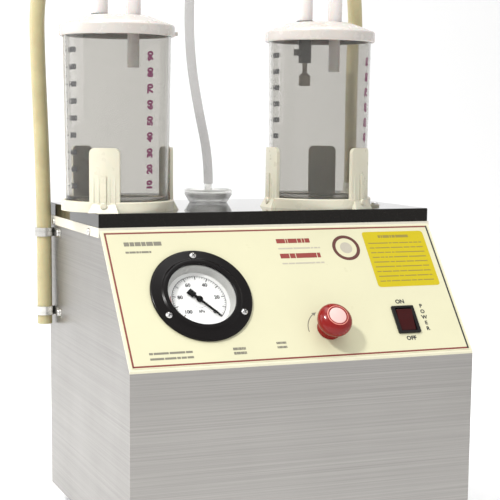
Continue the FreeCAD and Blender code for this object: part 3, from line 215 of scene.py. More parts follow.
@dataclass
class Shell:
    """Points, faces and face-corner UVs that are gathered into one mesh."""

    points: Array = field(default_factory=lambda: np.zeros((0, 3)))
    faces: list[list[int]] = field(default_factory=list)
    uvs: list[Array] = field(default_factory=list)

    def add(self, points: Array, faces: list[list[int]], uv: Array) -> "Shell":
        """Append a part.

        Args:
            points: frame points in metres.
            faces: corner numbers of each face.
            uv: one pair for each face corner, in order.

        Returns:
            This shell, so that calls can follow each other.
        """
        start = len(self.points)
        self.points = np.vstack([self.points, points.reshape(-1, 3)])
        self.faces += [[start + corner for corner in face] for face in faces]
        self.uvs.append(uv.reshape(-1, 2))
        return self

    def grid(self, points: Array, wrap_rows: bool = False, wrap_columns: bool = False) -> "Shell":
        """Append a two-parameter surface whose rows and columns of points are joined by quads.

        Args:
            points: an array of rows by columns by 3, in metres.
            wrap_rows: join the last row to the first.
            wrap_columns: join the last column to the first.

        Returns:
            This shell.
        """
        rows, columns = points.shape[:2]
        index = np.arange(rows * columns).reshape(rows, columns)
        index = np.vstack([index, index[:1]]) if wrap_rows else index
        index = np.hstack([index, index[:, :1]]) if wrap_columns else index
        down, across = (np.linspace(0, 1, size) for size in index.shape)
        v, u = np.meshgrid(down, across, indexing="ij")
        pairs = np.stack([u, v], -1)
        corners = [index[:-1, :-1], index[:-1, 1:], index[1:, 1:], index[1:, :-1]]
        uv = np.stack([pairs[:-1, :-1], pairs[:-1, 1:], pairs[1:, 1:], pairs[1:, :-1]], 2)
        return self.add(points, np.stack(corners, -1).reshape(-1, 4).tolist(), uv)

    def turned(self, outline: Array, place: Place, closed: bool = True, segments: int = 96) -> "Shell":
        """Append a turned surface: (r, z) of the outline goes to (r cos a, r sin a, z) for all a.

        Args:
            outline: rows of radius and height in millimetres.
            place: where the axis stands.
            closed: whether the outline is a loop; if not, its ends lie on the axis.
            segments: steps round the axis.

        Returns:
            This shell.
        """
        angle = np.linspace(0, 2 * math.pi, segments, endpoint=False)[:, None]
        radius, height = outline[None, :, 0], outline[None, :, 1]
        local = np.stack([radius * np.cos(angle), radius * np.sin(angle), height + 0 * angle], -1)
        return self.grid(place.carry(local), wrap_rows=True, wrap_columns=closed)

    def flats(self, corners: Array, place: Place) -> "Shell":
        """Append flat four-cornered patches.

        Args:
            corners: an array of patches by 4 by 3 in local millimetres.
            place: the patches' place.

        Returns:
            This shell.
        """
        faces = np.arange(len(corners) * 4).reshape(-1, 4).tolist()
        square = np.array([[0, 0], [1, 0], [1, 1], [0, 1]], float)
        return self.add(place.carry(corners), faces, np.tile(square, (len(corners), 1)))

    def drawn(self, points: Array, faces: list[list[int]]) -> "Shell":
        """Append faces that carry no pattern, such as lettering, from points in metres."""
        return self.add(points, faces, np.zeros((sum(map(len, faces)), 2)))

    def thing(self, name: str, crease: float = 35.0) -> bpy.types.Object:
        """Make the gathered parts one object.

        Args:
            name: the object's name.
            crease: edges sharper than this many degrees stay sharp.

        Returns:
            The object, which rides on nothing yet.
        """
        mesh = bpy.data.meshes.new(name)
        mesh.from_pydata(self.points.tolist(), [], self.faces)
        layer = mesh.uv_layers.new(name="UVMap")
        layer.data.foreach_set("uv", np.vstack(self.uvs).astype(np.float32).ravel())
        work = bmesh.new()
        work.from_mesh(mesh)
        bmesh.ops.remove_doubles(work, verts=work.verts, dist=1e-7)
        bmesh.ops.dissolve_degenerate(work, edges=work.edges, dist=1e-7)
        if not any(edge.is_boundary for edge in work.edges):
            bmesh.ops.recalc_face_normals(work, faces=work.faces)
        work.to_mesh(mesh)
        work.free()
        mesh.polygons.foreach_set("use_smooth", np.ones(len(mesh.polygons), bool))
        mesh.set_sharp_from_angle(angle=math.radians(crease))
        return link(name, mesh)

    def piece(self, name: str, finish: "Finish", body: Body = Body.CABINET, crease: float = 35.0,
              node: str = "") -> None:
        """Make the gathered parts one object that rides on a body and has a finish.

        Args:
            name: the object's name.
            finish: what it is made of.
            body: what it moves with.
            crease: edges sharper than this many degrees stay sharp.
            node: the CAD node that it stands for, if any.
        """
        made = finish_piece(self.thing(name, crease), finish, body)
        if node:
            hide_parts(node)


def finish_piece(thing: bpy.types.Object, finish: "Finish", body: Body) -> bpy.types.Object:
    """Give an object its material and body, and report it.

    Args:
        thing: the object.
        finish: what it is made of.
        body: what it moves with.

    Returns:
        The same object.
    """
    thing.data.materials.clear()
    thing.data.materials.append(finish.material())
    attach(thing, body.value)
    LOG.info("%s rides on %s", thing.name, body.value)
    return thing


def box_corners(x0: float, x1: float, y0: float, y1: float, z: float = 0.0) -> Array:
    """Give the four corners of a flat rectangle, anticlockwise, in millimetres."""
    return np.array([[x0, y0, z], [x1, y0, z], [x1, y1, z], [x0, y1, z]], float)


def arc_band(radius: float, width: float, start: float, end: float, z: float, steps: int = 48) -> Array:
    """Give patches of a flat ring: radius plus or minus half the width, from start to end degrees.

    Args:
        radius: the band's middle radius in millimetres.
        width: its width.
        start: where it starts, in degrees from the x axis.
        end: where it ends.
        z: its height.
        steps: number of patches.

    Returns:
        Patches by 4 by 3.
    """
    angle = np.radians(np.linspace(start, end, steps + 1))
    spoke = np.stack([np.cos(angle), np.sin(angle)], -1)
    inner, outer = spoke * (radius - width / 2), spoke * (radius + width / 2)
    corners = np.stack([inner[:-1], outer[:-1], outer[1:], inner[1:]], 1)
    return np.concatenate([corners, np.full(corners.shape[:2] + (1,), z)], -1)


def ticks(inner: float, outer: float, width: float, angles: Array, z: float) -> Array:
    """Give radial strokes between two radii, one for each angle in degrees.

    Args:
        inner: where a stroke starts, in millimetres from the middle.
        outer: where it ends.
        width: its width.
        angles: the strokes' angles in degrees.
        z: their height.

    Returns:
        Patches by 4 by 3.
    """
    turn = np.radians(angles)[:, None]
    along = np.array([[inner, outer, outer, inner]])
    aside = np.array([[-width, -width, width, width]]) / 2
    x = along * np.cos(turn) - aside * np.sin(turn)
    y = along * np.sin(turn) + aside * np.cos(turn)
    return np.stack([x, y, np.full_like(x, z)], -1)


def lettering(words: str, size: float, x: float, y: float, degrees: float = 0.0, z: float = 0.0) -> tuple:
    """Draw generic words or numbers as flat faces.

    Args:
        words: what is written.
        size: the letters' size in millimetres.
        x: the middle's place across.
        y: the middle's place up.
        degrees: the turn of the line of writing.
        z: the height above the surface.

    Returns:
        Local points in millimetres, and faces as lists of corner numbers.
    """
    curve = bpy.data.curves.new("lettering", "FONT")
    curve.body = words
    curve.size = size
    curve.align_x = "CENTER"
    curve.align_y = "CENTER"
    curve.resolution_u = 3
    curve.offset = BOLD * size
    writer = link("lettering", curve)
    bpy.context.view_layer.update()
    drawn = bpy.data.meshes.new_from_object(writer.evaluated_get(bpy.context.evaluated_depsgraph_get()))
    flat = np.zeros(len(drawn.vertices) * 3)
    drawn.vertices.foreach_get("co", flat)
    faces = [list(polygon.vertices) for polygon in drawn.polygons]
    bpy.data.objects.remove(writer)
    bpy.data.curves.remove(curve)
    bpy.data.meshes.remove(drawn)
    flat = flat.reshape(-1, 3)
    turn = math.radians(degrees)
    points = np.stack([
        x + flat[:, 0] * math.cos(turn) - flat[:, 1] * math.sin(turn),
        y + flat[:, 0] * math.sin(turn) + flat[:, 1] * math.cos(turn),
        np.full(len(flat), z),
    ], -1)
    return points, faces


# --- finishes ------------------------------------------------------------------------------------
class Shader:
    """A material's node tree, built one socket at a time."""

    def __init__(self, name: str) -> None:
        """Start a material with one Principled shader.

        Args:
            name: the material's name.
        """
        self.material = bpy.data.materials.new(name)
        self.material.use_nodes = True
        self.nodes = self.material.node_tree.nodes
        self.links = self.material.node_tree.links
        self.surface = self.nodes["Principled BSDF"]

    def set(self, **values: float) -> None:
        """Set constants on the shader's own sockets; a socket's name has _ for each space."""
        for name, value in values.items():
            self.surface.inputs[name.replace("_", " ")].default_value = value

    def coordinates(self, scale: tuple[float, float, float] = (1.0, 1.0, 1.0)) -> Socket:
        """Give object coordinates, times a scale for each axis.

        Args:
            scale: the factor along x, y and z.

        Returns:
            The scaled coordinates.
        """
        reader = self.nodes.new("ShaderNodeTexCoord")
        mapping = self.nodes.new("ShaderNodeMapping")
        mapping.inputs["Scale"].default_value = scale
        self.links.new(reader.outputs["Object"], mapping.inputs["Vector"])
        return mapping.outputs["Vector"]

    def noise(self, vector: Socket, scale: float, detail: float = 3.0, roughness: float = 0.55) -> Socket:
        """Give a fractal noise value on a coordinate socket.

        Args:
            vector: where the noise is read.
            scale: how many features there are in a metre.
            detail: how many finer layers are added.
            roughness: how strong the finer layers are.

        Returns:
            The noise, from 0 to 1.
        """
        node = self.nodes.new("ShaderNodeTexNoise")
        node.inputs["Scale"].default_value = scale
        node.inputs["Detail"].default_value = detail
        node.inputs["Roughness"].default_value = roughness
        self.links.new(vector, node.inputs["Vector"])
        return node.outputs["Fac"]

    def ramp(self, value: Socket, stops: list[tuple[float, tuple]]) -> Socket:
        """Turn a value into a colour by stops of position and colour.

        Args:
            value: what is turned into a colour.
            stops: a position from 0 to 1 and its colour, in order.

        Returns:
            The colour.
        """
        node = self.nodes.new("ShaderNodeValToRGB")
        elements = node.color_ramp.elements
        while len(elements) < len(stops):
            elements.new(0.5)
        for element, (position, colour) in zip(elements, stops):
            element.position = position
            element.color = (*colour, 1.0) if len(colour) == 3 else colour
        self.links.new(value, node.inputs["Fac"])
        return node.outputs["Color"]

    def spread(self, value: Socket, low: float, high: float, start: float = 0.3, end: float = 0.7) -> Socket:
        """Map a value's start and end to low and high.

        Args:
            value: what is mapped.
            low: the result at start.
            high: the result at end.
            start: the value that gives low.
            end: the value that gives high.

        Returns:
            The mapped value.
        """
        node = self.nodes.new("ShaderNodeMapRange")
        for name, number in (("From Min", start), ("From Max", end), ("To Min", low), ("To Max", high)):
            node.inputs[name].default_value = number
        self.links.new(value, node.inputs["Value"])
        return node.outputs["Result"]

    def drive(self, name: str, socket: Socket) -> None:
        """Link a socket to one of the shader's inputs."""
        self.links.new(socket, self.surface.inputs[name])

    def paint(self, value: Socket, colour: Colour, stops: list[tuple[float, float]]) -> None:
        """Colour the surface by a value: each stop is a position and how bright the colour is there."""
        self.drive("Base Color", self.ramp(value, [(at, shade(colour, bright)) for at, bright in stops]))

    def gloss(self, value: Socket, roughness: float, low: float, high: float) -> None:
        """Let a value take the roughness from low to high times its own figure."""
        self.drive("Roughness", self.spread(value, roughness * low, roughness * high))

    def bump(self, height: Socket, strength: float, distance: float) -> None:
        """Raise the surface by a height value; the distance is in millimetres.

        Args:
            height: the pattern that raises it.
            strength: how much of the pattern shows, from 0 to 1.
            distance: how high the pattern stands, in millimetres.
        """
        node = self.nodes.new("ShaderNodeBump")
        node.inputs["Strength"].default_value = strength
        node.inputs["Distance"].default_value = distance * MM
        self.links.new(height, node.inputs["Height"])
        self.drive("Normal", node.outputs["Normal"])


def shade(colour: Colour, factor: float) -> Colour:
    """Give a colour made lighter or darker by a factor."""
    return tuple(min(1.0, channel * factor) for channel in colour)


MADE: dict[str, bpy.types.Material] = {}


@dataclass(frozen=True)
class Finish:
    """A finish with a name, a main colour, a gloss and the record's material slot."""

    name: str
    colour: Colour
    roughness: float = 0.4
    slot: str = ""

    def material(self) -> bpy.types.Material:
        """Give the material, made once for each name.

        Returns:
            The material.
        """
        if self.name not in MADE:
            shader = Shader(self.name)
            self.dress(shader)
            MADE[self.name] = shader.material
        return MADE[self.name]

    def dress(self, shader: Shader) -> None:
        """Build the node tree; each kind of finish has its own."""
        raise NotImplementedError


@dataclass(frozen=True)
class MouldedPlastic(Finish):
    """Injection-moulded plastic: faint flow marks, fine spark texture, a soft depth of colour."""

    depth: float = 0.0
    texture: float = 0.05
    coat: float = 0.0
    variation: float = 0.06
    shine: float = 0.5

    def dress(self, shader: Shader) -> None:
        """Blotchy colour from slow noise, uneven gloss, and a fine raised grain.

        Args:
            shader: the node tree that it is built in.
        """
        place = shader.coordinates()
        flow = shader.noise(place, 24.0, 4.0)
        shader.paint(flow, self.colour, [(0.3, 1 - self.variation), (0.7, 1 + self.variation)])
        shader.gloss(shader.noise(place, 90.0, 3.0), self.roughness, 0.85, 1.2)
        shader.bump(shader.noise(place, 1400.0, 2.0), 0.25, self.texture)
        shader.set(Specular_IOR_Level=self.shine)
        if self.depth:
            shader.set(Subsurface_Weight=self.depth, Subsurface_Scale=0.004)
        if self.coat:
            shader.set(Coat_Weight=self.coat, Coat_Roughness=0.06)


@dataclass(frozen=True)
class BrushedSheet(Finish):
    """Stainless sheet with horizontal brush lines, faint rolling bands and handling marks."""

    metal: float = 1.0

    def dress(self, shader: Shader) -> None:
        """Noise stretched along the sheet makes the lines; slow noise makes bands and smudges.

        Args:
            shader: the node tree that it is built in.
        """
        lines = shader.noise(shader.coordinates((3.0, 3.0, 900.0)), 1.0, 5.0, 0.7)
        place = shader.coordinates()
        smudge = shader.noise(place, 9.0, 5.0)
        shader.paint(lines, self.colour, [(0.3, 0.84), (0.7, 1.12)])
        shader.gloss(smudge, self.roughness, 0.88, 1.15)
        shader.set(Metallic=self.metal, Anisotropic=0.35)
        shader.bump(lines, 0.2, 0.04)


@dataclass(frozen=True)
class Laminate(Finish):
    """Black laminate board, polished like a mirror, with dust and faint wiping marks."""

    def dress(self, shader: Shader) -> None:
        """A smooth dark base under a clear coat; the wiping marks only change the gloss.

        Args:
            shader: the node tree that it is built in.
        """
        place = shader.coordinates()
        wipe = shader.noise(shader.coordinates((6.0, 60.0, 60.0)), 1.0, 5.0)
        dust = shader.noise(place, 600.0, 2.0)
        shader.paint(dust, self.colour, [(0.62, 1.0), (0.8, 3.0)])
        shader.gloss(wipe, self.roughness, 0.7, 1.6)
        shader.set(Specular_IOR_Level=0.1, Coat_Weight=0.6, Coat_Roughness=0.03, Coat_IOR=1.3)
        shader.bump(shader.noise(place, 60.0, 1.0), 0.02, 0.3)


@dataclass(frozen=True)
class ClearPlastic(Finish):
    """Clear moulded plastic with a little haze and slow waves in its wall."""

    index: float = 1.3
    pass_through: float = 0.95
    cover: float = 1.0

    def dress(self, shader: Shader) -> None:
        """A see-through shader whose gloss is uneven, with shallow ripples.

        Args:
            shader: the node tree that it is built in.
        """
        place = shader.coordinates((1.0, 1.0, 0.35))
        shader.set(Base_Color=(*self.colour, 1.0), IOR=self.index, Transmission_Weight=self.pass_through)
        shader.set(Alpha=self.cover)
        shader.gloss(shader.noise(place, 30.0, 3.0), self.roughness, 0.5, 1.6)
        shader.bump(shader.noise(place, 45.0, 1.0), 0.10, 0.4)


@dataclass(frozen=True)
class Film(Finish):
    """Printed plastic film with a fine satin emboss."""

    def dress(self, shader: Shader) -> None:
        """Faint unevenness of the print under a satin grain.

        Args:
            shader: the node tree that it is built in.
        """
        place = shader.coordinates()
        shader.paint(shader.noise(place, 14.0, 4.0), self.colour, [(0.3, 0.975), (0.7, 1.02)])
        shader.gloss(shader.noise(place, 70.0), self.roughness, 0.8, 1.2)
        shader.set(Specular_IOR_Level=0.25)
        shader.bump(shader.noise(place, 2200.0, 1.0), 0.2, 0.02)


@dataclass(frozen=True)
class PaintedMetal(Finish):
    """Powder-coated or enamelled metal with orange peel and lighter rubbed spots."""

    peel: float = 0.2
    metal: float = 0.0
    shine: float = 0.5

    def dress(self, shader: Shader) -> None:
        """Orange peel is a rounded noise; wear is a second, sparse one.

        Args:
            shader: the node tree that it is built in.
        """
        place = shader.coordinates()
        wear = shader.noise(place, 45.0, 6.0, 0.7)
        shader.paint(wear, self.colour, [(0.2, 0.92), (0.66, 1.0), (0.8, 1.25)])
        shader.gloss(wear, self.roughness, 0.85, 1.25)
        shader.set(Metallic=self.metal, Specular_IOR_Level=self.shine)
        shader.bump(shader.noise(place, 500.0, 1.0), self.peel, 0.06)


@dataclass(frozen=True)
class MachinedMetal(Finish):
    """Turned, ground or cast metal: fine tool lines and dull spots."""

    grain: float = 500.0

    def dress(self, shader: Shader) -> None:
        """Tool lines and dull spots are two noises that change the gloss and the height.

        Args:
            shader: the node tree that it is built in.
        """
        place = shader.coordinates()
        lines = shader.noise(place, self.grain, 3.0, 0.6)
        spots = shader.noise(place, 60.0, 4.0)
        shader.paint(spots, self.colour, [(0.3, 0.85), (0.7, 1.08)])
        shader.gloss(spots, self.roughness, 0.8, 1.4)
        shader.set(Metallic=1.0)
        shader.bump(lines, 0.15, 0.05)


@dataclass(frozen=True)
class SoftRubber(Finish):
    """Moulded or extruded rubber: waxy bloom, slow mottling and a fine skin."""

    depth: float = 0.0
    sheen: float = 0.15

    def dress(self, shader: Shader) -> None:
        """Mottled colour and bloom follow the object; the skin is a fine noise.

        Args:
            shader: the node tree that it is built in.
        """
        place = shader.coordinates()
        mottle = shader.noise(place, 35.0, 5.0, 0.6)
        bloom = shader.noise(place, 160.0, 4.0)
        shader.paint(mottle, self.colour, [(0.25, 0.86), (0.55, 1.0), (0.8, 1.14)])
        shader.gloss(bloom, self.roughness, 0.8, 1.25)
        shader.bump(bloom, 0.2, 0.12)
        shader.set(Sheen_Weight=self.sheen, Sheen_Roughness=0.4)
        if self.depth:
            shader.set(Subsurface_Weight=self.depth, Subsurface_Scale=0.006)


@dataclass(frozen=True)
class Ink(Finish):
    """Screen-printed ink, a little uneven in its cover."""

    def dress(self, shader: Shader) -> None:
        """The cover varies with a fine noise.

        Args:
            shader: the node tree that it is built in.
        """
        cover = shader.noise(shader.coordinates(), 900.0, 3.0)
        stops = [(0.35, self.colour), (0.9, tuple(0.9 * channel + 0.01 for channel in self.colour))]
        shader.drive("Base Color", shader.ramp(cover, stops))
        shader.set(Roughness=self.roughness)


class Finishes:
    """Every finish of the pump."""

    STEEL = BrushedSheet("satin_stainless", (0.315, 0.305, 0.292), 0.36, "steel_sheet")
    CLIP = BrushedSheet("spring_steel", (0.62, 0.61, 0.58), 0.25, "clip_steel")
    ZINC = PaintedMetal("zinc_plate", (0.42, 0.43, 0.44), 0.45, "zinc_sheet", 0.1, 0.8)
    PANEL = PaintedMetal("cream_panel_paint", (0.64, 0.61, 0.46), 0.38, "panel_sheet")
    OVERLAY = Film("cream_overlay", (0.555, 0.535, 0.37), 0.34, "overlay_film")
    LABEL = Film("yellow_label", (0.45, 0.36, 0.004), 0.4, "overlay_film")
    FRAME = PaintedMetal("white_folded_sheet", (0.60, 0.57, 0.48), 0.35, "frame_sheet")
    BOARD = Laminate("black_laminate", (0.006, 0.005, 0.004), 0.05, "black_board")
    RUBBER = SoftRubber("black_rubber", (0.02, 0.02, 0.02), 0.62, "rubber")
    SCREW = MachinedMetal("plated_screw", (0.62, 0.61, 0.60), 0.24, "screw_steel")
    HOLDER = MouldedPlastic("cream_moulding", (0.54, 0.515, 0.41), 0.30, "holder_plastic", 0.12)
    JAR = ClearPlastic("clear_jar", (0.70, 0.69, 0.665), 0.05, "clear_plastic", 1.22, 0.96)
    LID = MouldedPlastic("milky_lid", (0.47, 0.44, 0.41), 0.25, "lid_plastic", 0.25, 0.02, 0.2, 0.03)
    PORT = MouldedPlastic("milky_port", (0.64, 0.60, 0.585), 0.28, "port_plastic", 0.25, 0.02, 0.1, 0.03)
    SEAL = SoftRubber("clear_silicone", (0.60, 0.58, 0.55), 0.4, "seal_silicone", 0.3)
    DARK = MouldedPlastic("dark_moulding", (0.035, 0.032, 0.028), 0.42, "dark_plastic")
    FLOAT = MouldedPlastic("grey_brown_float", (0.16, 0.13, 0.10), 0.5, "float_plastic")
    FILTER = ClearPlastic("smoky_filter", (0.88, 0.88, 0.85), 0.22, "filter_plastic", 1.3, 0.8, 0.6)
    MEMBRANE = SoftRubber("fibre_disc", (0.80, 0.80, 0.77), 0.9, "membrane", 0.0, 0.5)
    NYLON = MouldedPlastic("natural_nylon", (0.72, 0.70, 0.62), 0.42, "nylon", 0.15)
    LATEX = SoftRubber("amber_latex", (0.41, 0.36, 0.20), 0.42, "latex", 0.25, 0.1)
    TUBE = ClearPlastic("clear_tube_wall", (0.58, 0.57, 0.56), 0.16, "pvc_tube", 1.2, 0.75)
    FLANGE = PaintedMetal("black_enamel", (0.006, 0.005, 0.005), 0.22, "gauge_black", 0.12, 0.0, 0.12)
    CUP = PaintedMetal("black_cup", (0.05, 0.05, 0.05), 0.4, "gauge_steel")
    RING = PaintedMetal("grey_ring", (0.40, 0.40, 0.385), 0.38, "gauge_grey", 0.05)
    GLASS = ClearPlastic("flat_glass", (0.98, 0.98, 0.98), 0.01, "gauge_glass", 1.08, 1.0, 0.15)
    DIAL = Film("white_dial", (0.80, 0.80, 0.785), 0.5, "dial_face")
    BRASS = MachinedMetal("brass", (0.60, 0.42, 0.16), 0.3, "brass")
    NEEDLE = PaintedMetal("matt_black", (0.004, 0.004, 0.004), 0.5, "pointer_black", 0.05, 0.0, 0.1)
    RED = MouldedPlastic("red_moulding", (0.19, 0.004, 0.003), 0.22, "knob_red", 0.0, 0.03, 0.15, 0.06, 0.25)
    CAP = Film("pink_white_disc", (0.72, 0.44, 0.41), 0.35, "cap_white")
    SWITCH = MouldedPlastic("black_switch", (0.007, 0.006, 0.006), 0.34, "switch_black", shine=0.2)
    LENS = MouldedPlastic(
        "dark_red_lens", (0.034, 0.003, 0.003), 0.16, "rocker_red", texture=0.01, shine=0.15)
    CAST = MachinedMetal("cast_aluminium", (0.50, 0.50, 0.51), 0.5, "motor_aluminium", 900.0)
    IRON = MachinedMetal("grey_iron", (0.17, 0.18, 0.19), 0.5, "pump_iron", 700.0)
    STATOR = PaintedMetal("varnished_iron", (0.10, 0.09, 0.08), 0.4, "stator_iron", 0.2, 0.5)
    BEARING = MachinedMetal("ground_steel", (0.62, 0.62, 0.62), 0.15, "bearing_steel")
    SHAFT = MachinedMetal("turned_steel", (0.50, 0.50, 0.50), 0.25, "rotor_steel")
    FAN = MouldedPlastic("black_fan", (0.03, 0.03, 0.03), 0.5, "fan_plastic")
    VANE = MouldedPlastic("laminated_vane", (0.08, 0.05, 0.025), 0.6, "vane_composite")
    PLATE = PaintedMetal("grey_plate", (0.20, 0.21, 0.22), 0.45, "plate_steel")
    BRONZE = MachinedMetal("sintered_bronze", (0.36, 0.24, 0.11), 0.6, "silencer_bronze", 1500.0)
    BLACK_INK = Ink("black_ink", (0.012, 0.012, 0.013), 0.5, "pointer_black")
    RED_INK = Ink("red_ink", (0.36, 0.03, 0.03), 0.5, "knob_red")
    BROWN_INK = Ink("brown_ink", (0.17, 0.022, 0.016), 0.5, "knob_red")
    GREY_INK = Ink("grey_ink", (0.17, 0.16, 0.12), 0.5, "pointer_black")
    LABEL_INK = Ink("olive_ink", (0.24, 0.19, 0.02), 0.5, "pointer_black")
    TITLE_INK = Ink("red_brown_ink", (0.22, 0.025, 0.018), 0.5, "knob_red")
    SEAL_INK = Ink("dark_brown_ink", (0.085, 0.018, 0.012), 0.5, "knob_red")
    PALE_INK = Ink("pale_grey_ink", (0.40, 0.37, 0.30), 0.5, "pointer_black")
    # painted highlight: the pale pink band on the knob's dome shoulder
    RIM_HIGHLIGHT = MouldedPlastic("pink_rim_highlight", (0.66, 0.22, 0.17), 0.35, "knob_red", 0.1, 0.02)
    VIOLET_INK = Ink("violet_ink", (0.14, 0.02, 0.07), 0.5, "knob_red")


# --- hoses ---------------------------------------------------------------------------------------
@dataclass
class Hose:
    """A hose on one smooth spline, with the facts that its maker would state."""

    name: str
    node: str
    route: list[tuple[float, float, float]]
    diameter: float
    length: float
    far_end: str
    finish: Finish

    def build(self) -> bpy.types.Object:
        """Returns:
            The hose.
        """
        curve = bpy.data.curves.new(self.name, "CURVE")
        curve.dimensions = "3D"
        curve.bevel_depth = self.diameter / 2
        curve.bevel_resolution = 10
        curve.resolution_u = 14
        curve.use_fill_caps = True
        spline = curve.splines.new("NURBS")
        spline.points.add(len(self.route) - 1)
        points = np.hstack([np.array(self.route), np.ones((len(self.route), 1))])
        spline.points.foreach_set("co", points.astype(np.float32).ravel())
        spline.order_u = 3
        spline.use_endpoint_u = True
        spline.use_smooth = True
        thing = finish_piece(link(self.name, curve), self.finish, Body.CABINET)
        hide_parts(self.node)
        return thing


SUCTION_ROUTE = [
    (0.1750, 0.0860, 0.3760), (0.1750, 0.0860, 0.4320), (0.1746, 0.0862, 0.4920),
    (0.1762, 0.0868, 0.5520), (0.1730, 0.0880, 0.6120), (0.1500, 0.0920, 0.6680),
    (0.1040, 0.0990, 0.7140), (0.0420, 0.1070, 0.7410), (-0.0260, 0.1150, 0.7470),
    (-0.0920, 0.1230, 0.7340), (-0.1480, 0.1300, 0.6970), (-0.1850, 0.1350, 0.6420),
    (-0.1975, 0.1380, 0.5800), (-0.1966, 0.1390, 0.5180), (-0.1942, 0.1392, 0.4560),
    (-0.1924, 0.1390, 0.3960), (-0.1915, 0.1390, 0.3360), (-0.1913, 0.1391, 0.2760),
    (-0.1915, 0.1390, 0.2160),
]
CLEAR_ROUTE = [
    (-0.0030, 0.1050, 0.3770), (-0.0030, 0.1050, 0.4080), (-0.0165, 0.1050, 0.4660),
    (-0.0265, 0.1045, 0.5240), (-0.0290, 0.1020, 0.5900), (-0.0240, 0.0950, 0.6550),
    (0.0050, 0.0710, 0.7000), (0.0460, 0.0350, 0.7000), (0.0750, 0.0080, 0.6640),
    (0.0750, 0.0080, 0.6110),
]


# --- studio --------------------------------------------------------------------------------------
@dataclass
class Studio:
    """Camera, pale floor and soft lights."""

    eye: tuple[float, float, float] = (-0.5561, -1.3965, 0.4520)
    ahead: tuple[float, float, float] = (0.36011, 0.92266, -0.13790)
    right: tuple[float, float, float] = (0.93194, -0.36252, 0.00813)
    upward: tuple[float, float, float] = (0.04249, 0.13145, 0.99041)
    lens: float = 97.97
    shift: tuple[float, float] = (0.0333, 0.117)
    surround: float = 0.84

    def camera(self) -> None:
        """Stand the camera and make it the scene's own."""
        data = bpy.data.cameras.new("camera")
        data.sensor_width = 36.0
        data.lens = self.lens
        data.shift_x, data.shift_y = self.shift
        data.clip_end = 50.0
        thing = link("camera", data)
        stand(thing, [self.right, self.upward, [-part for part in self.ahead]], self.eye)
        bpy.context.scene.camera = thing

    def floor(self) -> None:
        """Lay a floor that sweeps up behind the object: a quarter circle between two flats."""
        reach, radius, width = 2.2, 1.2, 16.0
        turn = np.linspace(0, math.pi / 2, 24)
        y = np.concatenate([[-14.0], reach + radius * np.sin(turn), [reach + radius]])
        z = np.concatenate([[0.0], radius - radius * np.cos(turn), [6.0]]) - 0.0004
        x = np.linspace(-width, width, 9)
        points = np.stack(np.broadcast_arrays(x[None, :], y[:, None], z[:, None]), -1)
        thing = Shell().grid(points).thing("pale_floor")
        thing.data.materials.append(FloorPaper("pale_floor", (0.90, 0.90, 0.90), 0.7).material())

    def lamp(self, name: str, place: tuple, aim: tuple, size: float, power: float, tint: Colour) -> None:
        """Hang a square soft light.

        Args:
            name: the lamp's name.
            place: where it hangs.
            aim: the point it faces.
            size: its side in metres.
            power: its power in watts.
            tint: its colour.
        """
        data = bpy.data.lights.new(name, "AREA")
        data.shape = "SQUARE"
        data.size = size
        data.energy = power
        data.color = tint
        back = np.array(place, float) - np.array(aim, float)
        back /= np.linalg.norm(back)
        side = np.cross([0.0, 0.0, 1.0], back)
        side /= np.linalg.norm(side)
        stand(link(name, data), [side, np.cross(back, side), back], place)

    def lights(self) -> None:
        """Light from above left and the front, in a pale surround."""
        world = bpy.data.worlds.new("surround")
        world.use_nodes = True
        world.node_tree.nodes["Background"].inputs["Color"].default_value = (1.0, 1.0, 1.0, 1.0)
        world.node_tree.nodes["Background"].inputs["Strength"].default_value = self.surround
        bpy.context.scene.world = world
        bpy.context.scene.view_settings.view_transform = "Standard"
        self.lamp("key", (-1.7, -0.9, 2.3), (0.0, 0.0, 0.35), 0.3, 60.0, (1.0, 0.99, 0.97))
        self.lamp("fill", (1.9, -1.4, 1.3), (0.0, 0.0, 0.3), 1.8, 3.0, (0.97, 0.98, 1.0))
        self.lamp("side", (-2.2, 0.9, 1.3), (-0.18, 0.0, 0.25), 2.0, 34.0, (1.0, 1.0, 1.0))
        self.lamp("top", (0.1, 0.3, 2.6), (0.0, 0.05, 0.3), 1.8, 34.0, (1.0, 1.0, 1.0))


@dataclass(frozen=True)
class FloorPaper(Finish):
    """Matt white paper."""

    def dress(self, shader: Shader) -> None:
        """Plain paper with a faint tooth.

        Args:
            shader: the node tree that it is built in.
        """
        shader.set(Base_Color=(*self.colour, 1.0), Roughness=self.roughness)
        shader.bump(shader.noise(shader.coordinates(), 300.0), 0.05, 0.2)


